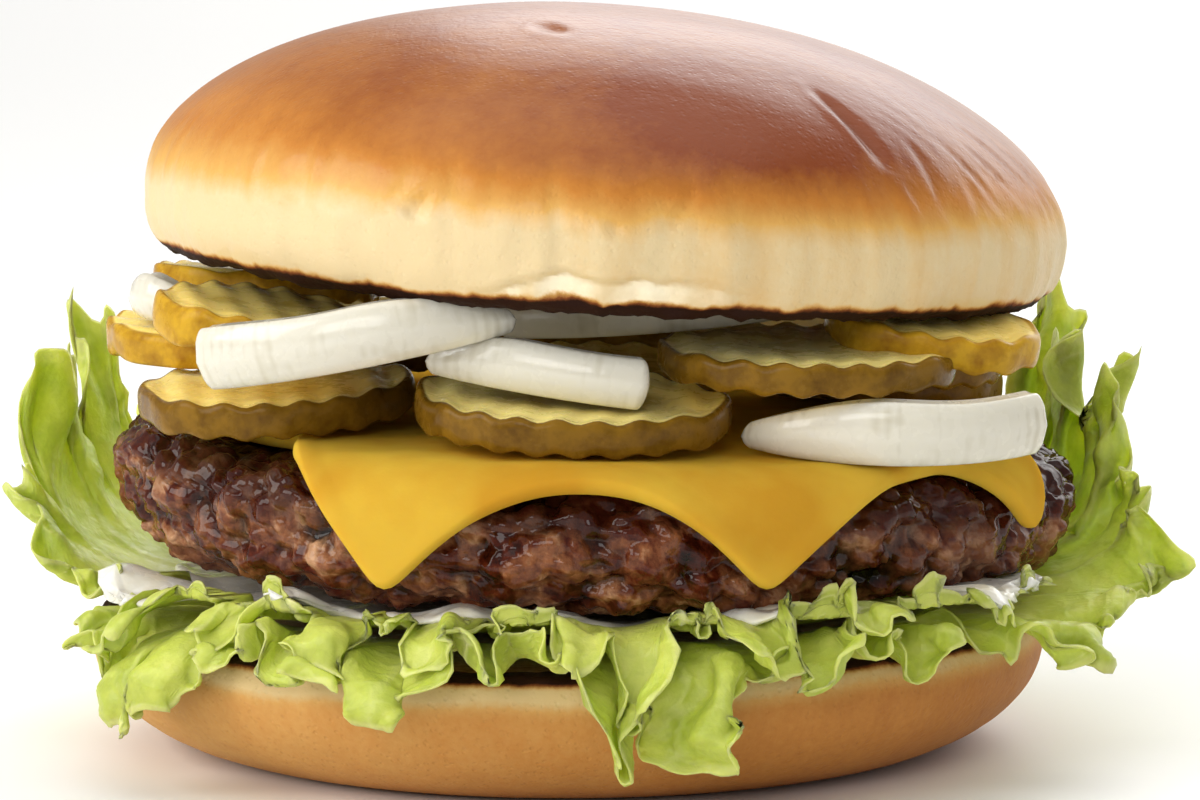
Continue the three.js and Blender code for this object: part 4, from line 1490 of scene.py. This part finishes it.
@dataclass
class Sauce:
    """White sauce spread over a leaf, with runs that follow the leaf's folds out from under the patty."""

    leaf: Leaf
    thickness: float = 0.65
    upper: float = 0.42  # how far off the leaf its face is where it is thinnest
    lower: float = 0.12  # how far off the leaf its underside is
    columns: int = 500
    # azimuth, share of the leaf
    edge: np.ndarray = field(
        default_factory=lambda: np.array(
            [
                [-78, 0.12], [-72, 0.3], [-64, 0.62], [-58, 0.5], [-50, 0.14], [-38, 0.14],
                [-33, 0.75], [-28, 0.2], [-22, 0.28], [-16, 0.42], [-8, 0.28], [-2, 0.42],
                [4, 0.28], [9, 0.14], [15, 0.2], [20, 0.65], [25, 0.5], [30, 0.14],
                [42, 0.14], [48, 0.6], [55, 0.88], [62, 0.6], [69, 0.14], [84, 0.1],
                [135, 0.1], [180, 0.35], [240, 0.1],
            ]
        )
    )

    def build(self, white: Material) -> None:
        """Makes the sauce.

        Args:
            white: Its finish.
        """
        degrees = np.linspace(-180, 180, self.columns, endpoint=False)
        low, high, share = read_round(self.edge, np.radians(degrees))
        run = low[:, 1] + (high[:, 1] - low[:, 1]) * ease(share)
        azimuth = np.radians(degrees)[:, None]
        ring = around(np.full_like(azimuth, 55.0), azimuth, azimuth * 0)
        run = run[:, None] * (1 + 0.3 * drift(ring, 4, 121) + 0.1 * drift(ring, 1.9, 127))
        reach, curl = self.leaf.margin(degrees)
        reach = np.maximum(reach, 0.6)[:, None]
        out = np.sin(np.linspace(0, math.pi / 2, 26))[None, :]
        over = np.minimum(out * run / reach, 0.97)
        sheet = self.leaf.middle(azimuth, over, reach, curl[:, None])
        sheet = np.mean([np.roll(sheet, step, axis=0) for step in range(-3, 4)], axis=0)
        wrapped = np.concatenate([sheet[-1:], sheet, sheet[:1]])
        facing = unit(np.cross(np.gradient(sheet, axis=1), np.gradient(wrapped, axis=0)[1:-1]))
        lumps = 0.9 + 0.9 * drift(sheet, 5.5, 123) + 0.4 * drift(sheet, 2.6, 125)
        height = self.thickness * np.clip(lumps, 0.15, 2.2) * np.sqrt(np.maximum(1 - out**6, 0.01))
        upper = (sheet + facing * (self.upper + height)[..., None]).transpose(1, 0, 2)
        lower = (sheet + facing * self.lower).transpose(1, 0, 2)[::-1]
        inward = np.linspace(0.02, 1, 8)[:-1, None, None]
        flat = np.array([0.0, 0.0, 1.0])
        centre = [layer * (inward * (1 - flat) + flat) for layer in (upper[:1], lower[-1:])]
        skin = np.concatenate([centre[0], upper, lower, centre[1][::-1]])
        dress("sauce", skin, {}, white)


# ------------------------------------------------------------------ toppings


@dataclass
class Topping:
    """Where a topping lies: its middle, how its front and right side tip down, and its turn."""

    node: str
    x: float
    y: float
    radius: float
    lean: float = 0.0
    roll: float = 0.0
    turn: float = 0.0
    drop: float = 0.0  # how far the lip above presses it down

    def laid(self, skin: Points) -> Points:
        """Returns a skin moved from the topping's own place to the burger's."""
        placed = skin @ turned(self.lean, self.roll, self.turn).T + np.array([self.x, self.y, 0])
        return settled(placed, self.node) - np.array([0, 0, self.drop])


@dataclass
class Pickle(Topping):
    """A crinkle-cut slice with wavy faces, rounded skin and a slightly sunken middle."""

    thickness: float = 3.6
    pitch: float = 4.1
    ridge: float = 0.15
    rounding: float = 0.85  # how far in from the rind it starts to round
    columns: int = 150
    tone: PickleTone = PickleTone.OLIVE

    def build(self, finishes: dict[PickleTone, Material]) -> None:
        """Makes the slice.

        Args:
            finishes: The finish of each tone.
        """
        salt = len(self.node)
        angle = circle(self.columns)
        top = np.linspace(0.02, 1, 21) ** 0.75
        side = np.linspace(0, math.pi, 14)[1:-1]
        bottom = top[::-1][::3]
        share = np.concatenate([top, 0 * side + 1, bottom])[:, None]
        rounded = np.sign(np.cos(side)) * np.abs(np.cos(side)) ** 0.7
        level = np.concatenate([top * 0 + 1, rounded, bottom * 0 - 1])[:, None]
        bulge = np.concatenate([top * 0, np.sin(side) ** 0.55, bottom * 0])[:, None]
        outline = self.radius * (1 + uneven(angle, [(2, 0.025, salt), (3, 0.02, 0.5 * salt)]))
        outline = outline + 0.12 * np.sin(9 * angle + salt)
        r = share * (outline - self.rounding) + self.rounding * bulge
        x, y = r * np.cos(angle), r * np.sin(angle)
        crest = 1 if math.ceil(2 * (self.radius + 1) / self.pitch) % 2 else -1
        phase = 2 * math.pi * x / self.pitch + 0.25 * np.sin(y / 4 + salt)
        wave = crest * self.ridge * (0.5 + 1.3 * share**4) * np.cos(phase)
        flat = np.stack(np.broadcast_arrays(x, y, level * self.thickness / 2), axis=-1)
        sunk = 0.25 * ease(share, 0.75, 0.2) + 0.12 * bell(share, 0.88, 0.05)
        z = level * (self.thickness / 2 - sunk * np.abs(level)) + wave + 0.1 * drift(flat, 5, salt)
        warty = 1 + 0.14 * drift(flat, 2.2, 3 + salt) * bulge / self.radius
        skin = np.stack(np.broadcast_arrays(x * warty, y * warty, z), axis=-1)
        flat_edge = outline - self.rounding
        rind = np.clip(0.6 * ease(share * flat_edge, flat_edge - 0.7, flat_edge + 0.1) + bulge, 0, 1)
        out = 0.38 * self.radius  # how far from the middle its three seed cores are
        cores = sum(
            np.exp(-((x - out * math.cos(a)) ** 2 + (y - out * math.sin(a)) ** 2) / (0.2 * self.radius) ** 2)
            for a in (0.5 + salt, 2.6 + salt, 4.7 + salt)
        )
        masks = {"skin": rind, "seeds": np.clip(0.9 - 0.75 * cores, 0, 1)}
        dress(self.node, self.laid(skin), masks, finishes[self.tone])


@dataclass
class Onion(Topping):
    """A stretch of an onion ring: a curved wall, fuller in the middle of its height, rounded at its ends."""

    span: float = 90.0
    height: float = 4.6
    ends: tuple[float, float] = (0.6, 0.6)
    wall: float = 3.2
    bulge: float = 0.7
    squareness: float = 0.22  # of its section; 1 is round
    stripe: float = 1.35  # from one fibre to the next
    rounding: float = 1.1  # how far from its ends it starts to round
    rows: int = 96
    columns: int = 48

    def build(self, flesh: Material) -> None:
        """Makes the stretch of ring.

        Args:
            flesh: Its finish.
        """
        u = (0.5 - 0.5 * np.cos(np.linspace(0.02, math.pi - 0.02, self.rows)))[:, None]
        loop = circle(self.columns)
        across, up = (
            np.sign(share) * np.abs(share) ** self.squareness for share in (np.cos(loop), np.sin(loop))
        )
        keep = np.where(u < 0.5, self.ends[0], self.ends[1])
        taper = 1 - (1 - keep) * (2 * u - 1) ** 2
        arc = math.radians(self.span) * self.radius
        cap = np.sqrt(1 - np.clip(1 - np.minimum(u, 1 - u) * arc / self.rounding, 0, 1) ** 2)
        azimuth = np.radians(self.span * (u - 0.5))
        wander = 1.3 * np.sin(azimuth * 9)
        fibre = 0.5 + 0.5 * np.sin(azimuth * self.radius * 2 * math.pi / self.stripe + wander)
        groove = 0.02 * fibre * ease(np.abs(across), 0.5, 1.0)
        half_wall = self.wall * taper * (1 - 0.28 * up**2) / 2 * cap
        r = self.radius + self.bulge * (1 - up**2) + across * (half_wall - groove)
        lift = self.height * (taper * (1 + up * cap) / 2 - 0.5)
        ripple = (0.14 * np.sin(7 * azimuth + self.radius) - 0.2 * bell(across, 0.1, 0.2)) * (up > 0.6)
        skin = around(r, azimuth + 0 * up, lift + ripple)
        seam = bell(across, 0.15, 0.16) * (np.abs(up) > 0.9)
        striped = (0.14 + 0.2 * np.abs(2 * u - 1) ** 6) * fibre * (np.abs(across) > 0.6)
        masks = {"fibre": np.clip(1 - striped - 0.7 * seam, 0, 1)}
        dress(self.node, self.laid(skin), masks, flesh)


@dataclass
class Salad:
    """The leaves, the lower ones first, and the sauce on them."""

    skirt: Skirt = field(default_factory=Skirt)

    def build(self, green: Material, white: Material) -> None:
        """Makes the leaves and the sauce.

        Args:
            green: The leaves' finish.
            white: The sauce's finish.
        """
        left = lobes(
            (-130, 0.86, 0.3), (-122, 0.98, 0.1), (-111, 1.03, 0.1), (-96, 0.99, 0.05), (-81, 0.88, 0.3),
        )
        under = lobes(
            (-72, 0.9, 0.3), (-60, 1.06, 0.1), (-42, 0.78, 0.6), (-32, 1.02, -0.2), (-22, 1.04, 0.2),
            (-11.6, 0.88, 0.9), (-5, 0.84, 1.3), (1.5, 1.12, 0.9), (8, 1.12, -0.1), (19, 0.8, 0.5),
            (22.5, 0.98, 0.3), (30, 0.78, 0.8), (37, 0.95, 0.0),
        )
        right = lobes(
            (49, 1.0, 0.0), (60, 1.05, 0.2), (68, 0.95, 0.1), (75, 1.04, -0.2), (87, 0.96, 0.1),
            (95, 1.02, -0.2), (106, 0.98, 0.1), (116, 1.03, -0.1), (127, 0.92, 0.1),
        )
        behind = lobes(
            (139, 0.9, 0.2), (153, 1.05, 0.0), (166, 0.9, 0.7), (180, 1.05, 0.1), (196, 0.9, 0.5),
            (212, 1.0, 0.2),
        )
        front = lobes(
            (-66, 0.62, 0.5), (-58, 0.84, 0.2), (-49, 0.52, 1.2), (-43, 0.72, 0.4), (-35, 0.6, 1.4),
            (-29, 0.86, 0.1), (-21, 0.62, 0.8), (-16, 0.86, 0.4), (-9, 0.66, 1.5), (-2, 0.72, 0.7),
            (4, 0.95, 0.5), (11, 0.7, 1.1), (16, 0.92, 0.0), (23, 0.58, 1.2), (29, 0.82, 0.3),
            (38, 0.55, 1.0), (45, 0.78, 0.2), (54, 0.62, 0.6),
        )
        upper = Leaf(self.skirt, "lettuce_front", front, 64, layer=1)
        for leaf in (
            Leaf(self.skirt, "lettuce_left", left, -75, frill=0.85, gain=0.7, notch=0.3),
            Leaf(self.skirt, "lettuce_under", under, 46),
            Leaf(self.skirt, "lettuce_right", right, 136, frill=1.3, gain=0.8, notch=0.24),
            Leaf(self.skirt, "lettuce_behind", behind, 229, fineness=2.2),
            upper,
        ):
            leaf.build(green)
        Sauce(upper).build(white)


@dataclass
class Toppings:
    """The pickles and onions between the cheese and the crown."""

    pickles: list[Pickle] = field(
        default_factory=lambda: [
            Pickle("pickle_left", -31.9, -22.5, 15.2, 4, -1.5, 8),
            Pickle("pickle_front", 0.5, -36.5, 16.6, 5.5, 3, -4),
            Pickle("pickle_back", 8, 35, 16, -3, 0, 5),
            Pickle("pickle_back_left", -29, 22, 15, -2, -3, 70),
            Pickle("pickle_back_right", 37, 16, 14.5, -1, 3, 50),
            Pickle("pickle_middle", 2, -1, 15.5, -17, 0, -12, thickness=3.4),
            Pickle("pickle_middle_right", 36, -4, 13.5, 2, 2, 30, thickness=3.4),
            Pickle("pickle_far_left", -38.5, -5, 13.5, 4, -1, 60, tone=PickleTone.GOLDEN),
            Pickle("pickle_right", 25.7, -33.5, 15.8, 3.5, 2, 5, thickness=3.2),
            Pickle("pickle_upper_left", -33, -26, 12, 4.5, 9, 14, thickness=4.3, tone=PickleTone.GOLDEN),
            Pickle("pickle_upper_right", 40, -26.8, 11.6, 8.5, 8, 10, drop=1.2, tone=PickleTone.GOLDEN),
            Pickle("pickle_upper_far_left", -35, 8, 13, -2, 3, 40, thickness=3, tone=PickleTone.GOLDEN),
            Pickle("pickle_upper_back", -17, 30, 14.5, -3, -3, 20, thickness=3),
            Pickle("pickle_upper_back_right", 18, 30, 14, -2, 2, -15, thickness=3, tone=PickleTone.GOLDEN),
        ]
    )
    onions: list[Onion] = field(
        default_factory=lambda: [
            Onion("onion_right", 34.6, -24.8, 21, 8, 1, 0, span=94, height=6.8, ends=(0.35, 0.95)),
            Onion("onion_far_left", -38.5, -6, 9.5, 4, 0, -52, span=60, height=5.2, ends=(0.6, 0.7)),
            Onion("onion_middle", 3.4, -18, 28, 2, 8, -14, span=50, height=5.5, ends=(0.45, 1.0)),
            Onion("onion_left", -20, -22.6, 24.5, 2, -11.5, -6, span=84, height=6.6, ends=(1.0, 0.4)),
            Onion("onion_inner", 9.7, -5, 25, 2, -4.5, 0, span=84, height=6.0, ends=(0.9, 0.4)),
            Onion("onion_back_right", 22, 15, 27, -2, 2, 150, span=100, height=4, ends=(0.6, 0.8)),
            Onion("onion_back_left", -21, 15, 20, -2, -2, 222, span=110, height=4.2, ends=(0.5, 0.9)),
        ]
    )

    def build(self) -> None:
        """Makes every slice."""
        finishes = {tone: PickleFinish(tone).make() for tone in PickleTone}
        for pickle in self.pickles:
            pickle.build(finishes)
        flesh = OnionFinish().make()
        for onion in self.onions:
            onion.build(flesh)


# ------------------------------------------------------------------ studio


@dataclass(frozen=True)
class Lamp:
    """A soft box that faces the middle of the burger."""

    name: str
    place: tuple[float, float, float]  # in metres
    size: tuple[float, float]  # width and height, in metres
    power: float  # in watts
    tint: Rgb = (1.0, 1.0, 1.0)
    target: tuple[float, float, float] = (0.0, 0.0, 0.045)  # in metres

    def hang(self) -> None:
        """Hangs it in the studio."""
        light = bpy.data.lights.new(self.name, "AREA")
        light.shape = "RECTANGLE"
        light.size, light.size_y = self.size
        light.energy = self.power
        light.color = self.tint
        lamp = bpy.data.objects.new(self.name, light)
        bpy.context.scene.collection.objects.link(lamp)
        lamp.location = self.place
        towards = Vector(self.target) - Vector(self.place)
        lamp.rotation_euler = towards.to_track_quat("-Z", "Y").to_euler()


@dataclass
class Studio:
    """A pale floor, soft light and the camera."""

    aim: tuple[float, float, float] = (3.7, 0.0, 38.7)
    distance: float = 500.0
    elevation: float = 6.0
    focal: float = 130.3
    sensor: float = 36.0  # the width of the camera's sensor
    floor_size: float = 30.0  # in metres, so that its edge never shows
    room: float = 0.44  # how bright the room is all round
    wall: float = 0.9  # how much brighter the wall behind the burger is
    window: float = 3.0  # how much brighter the window above that wall is
    ceiling: float = 1.4  # how much brighter the panel overhead is
    key: Lamp = Lamp("key", (-0.95, -0.35, 0.55), (0.75, 0.75), 9, (1.0, 0.98, 0.94))
    fill: Lamp = Lamp("fill", (-0.35, -1.2, 0.5), (0.8, 0.4), 4.6)

    def floor(self) -> None:
        """Lays the floor."""
        bpy.ops.mesh.primitive_plane_add(size=self.floor_size, location=(0, 0, 0))
        floor = bpy.context.object
        floor.name = "floor"
        recipe = Recipe("floor_paint", Base_Color=(0.93, 0.925, 0.915), Roughness=0.6)
        recipe.bump((recipe.noise(90, 2), 0.05))
        floor.data.materials.append(recipe.material)

    def camera(self) -> None:
        """Sets up the camera."""
        camera = bpy.data.objects.new("camera", bpy.data.cameras.new("camera"))
        bpy.context.scene.collection.objects.link(camera)
        rise = math.radians(self.elevation)
        aim = Vector(self.aim) * METRES
        camera.location = aim + Vector((0, -math.cos(rise), math.sin(rise))) * self.distance * METRES
        camera.rotation_euler = (aim - camera.location).to_track_quat("-Z", "Y").to_euler()
        camera.data.lens = self.focal
        camera.data.sensor_width = self.sensor
        camera.data.clip_start, camera.data.clip_end = 0.01, 60
        bpy.context.scene.camera = camera

    def build(self) -> None:
        """Sets up floor, light and camera."""
        self.floor()
        world = bpy.data.worlds.new("studio")
        bpy.context.scene.world = world
        world.use_nodes = True
        sky = Nodes(world.node_tree)
        background = sky.tree.nodes["Background"]
        background.inputs["Color"].default_value = (1.0, 0.995, 0.98, 1)
        facing = sky.tree.nodes.new("ShaderNodeSeparateXYZ")
        sky.link(sky.tree.nodes.new("ShaderNodeTexCoord").outputs["Generated"], facing.inputs[0])
        x, y, z = (facing.outputs[axis] for axis in "XYZ")
        # the wall starts straight behind the burger and runs to the right, and the window is its upper part
        glow = sky.worked("MULTIPLY_ADD", sky.span(z, 0.22, 0.36), self.window - self.wall, self.wall)
        for edge in (sky.span(x, -0.14, 0.0), sky.span(y, 0.42, 0.55), sky.span(z, 0.78, 0.7)):
            glow = sky.worked("MULTIPLY", glow, edge)
        glow = sky.worked("MULTIPLY_ADD", sky.span(z, 0.8, 0.95), self.ceiling, glow)
        sky.link(sky.worked("ADD", glow, self.room), background.inputs["Strength"])
        self.key.hang()
        self.fill.hang()
        self.camera()
        bpy.context.scene.view_settings.view_transform = "Standard"


def main() -> None:
    """Builds the burger from the heel up, then the studio."""
    logging.basicConfig(level=logging.INFO, format="%(name)s %(message)s")
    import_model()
    heel_crust = CrustFinish(
        "heel_crust",
        pale=srgb(212, 184, 132), gold=srgb(202, 154, 88), brown=srgb(186, 126, 62), deep=srgb(150, 84, 37),
        gloss=0.6, coat=0.04, grain=0.06, mottle=0.24, dimples=0.25,
    )
    Heel().build(heel_crust.make())
    Salad().build(LeafFinish().make(), SauceFinish().make())
    patty = Patty()
    patty.build(BeefFinish().make())
    Cheese(patty).build(CheeseFinish().make())
    Toppings().build()
    Crown().build(CrustFinish("crown_crust").make())
    Studio().build()


if __name__ == "__main__":
    main()
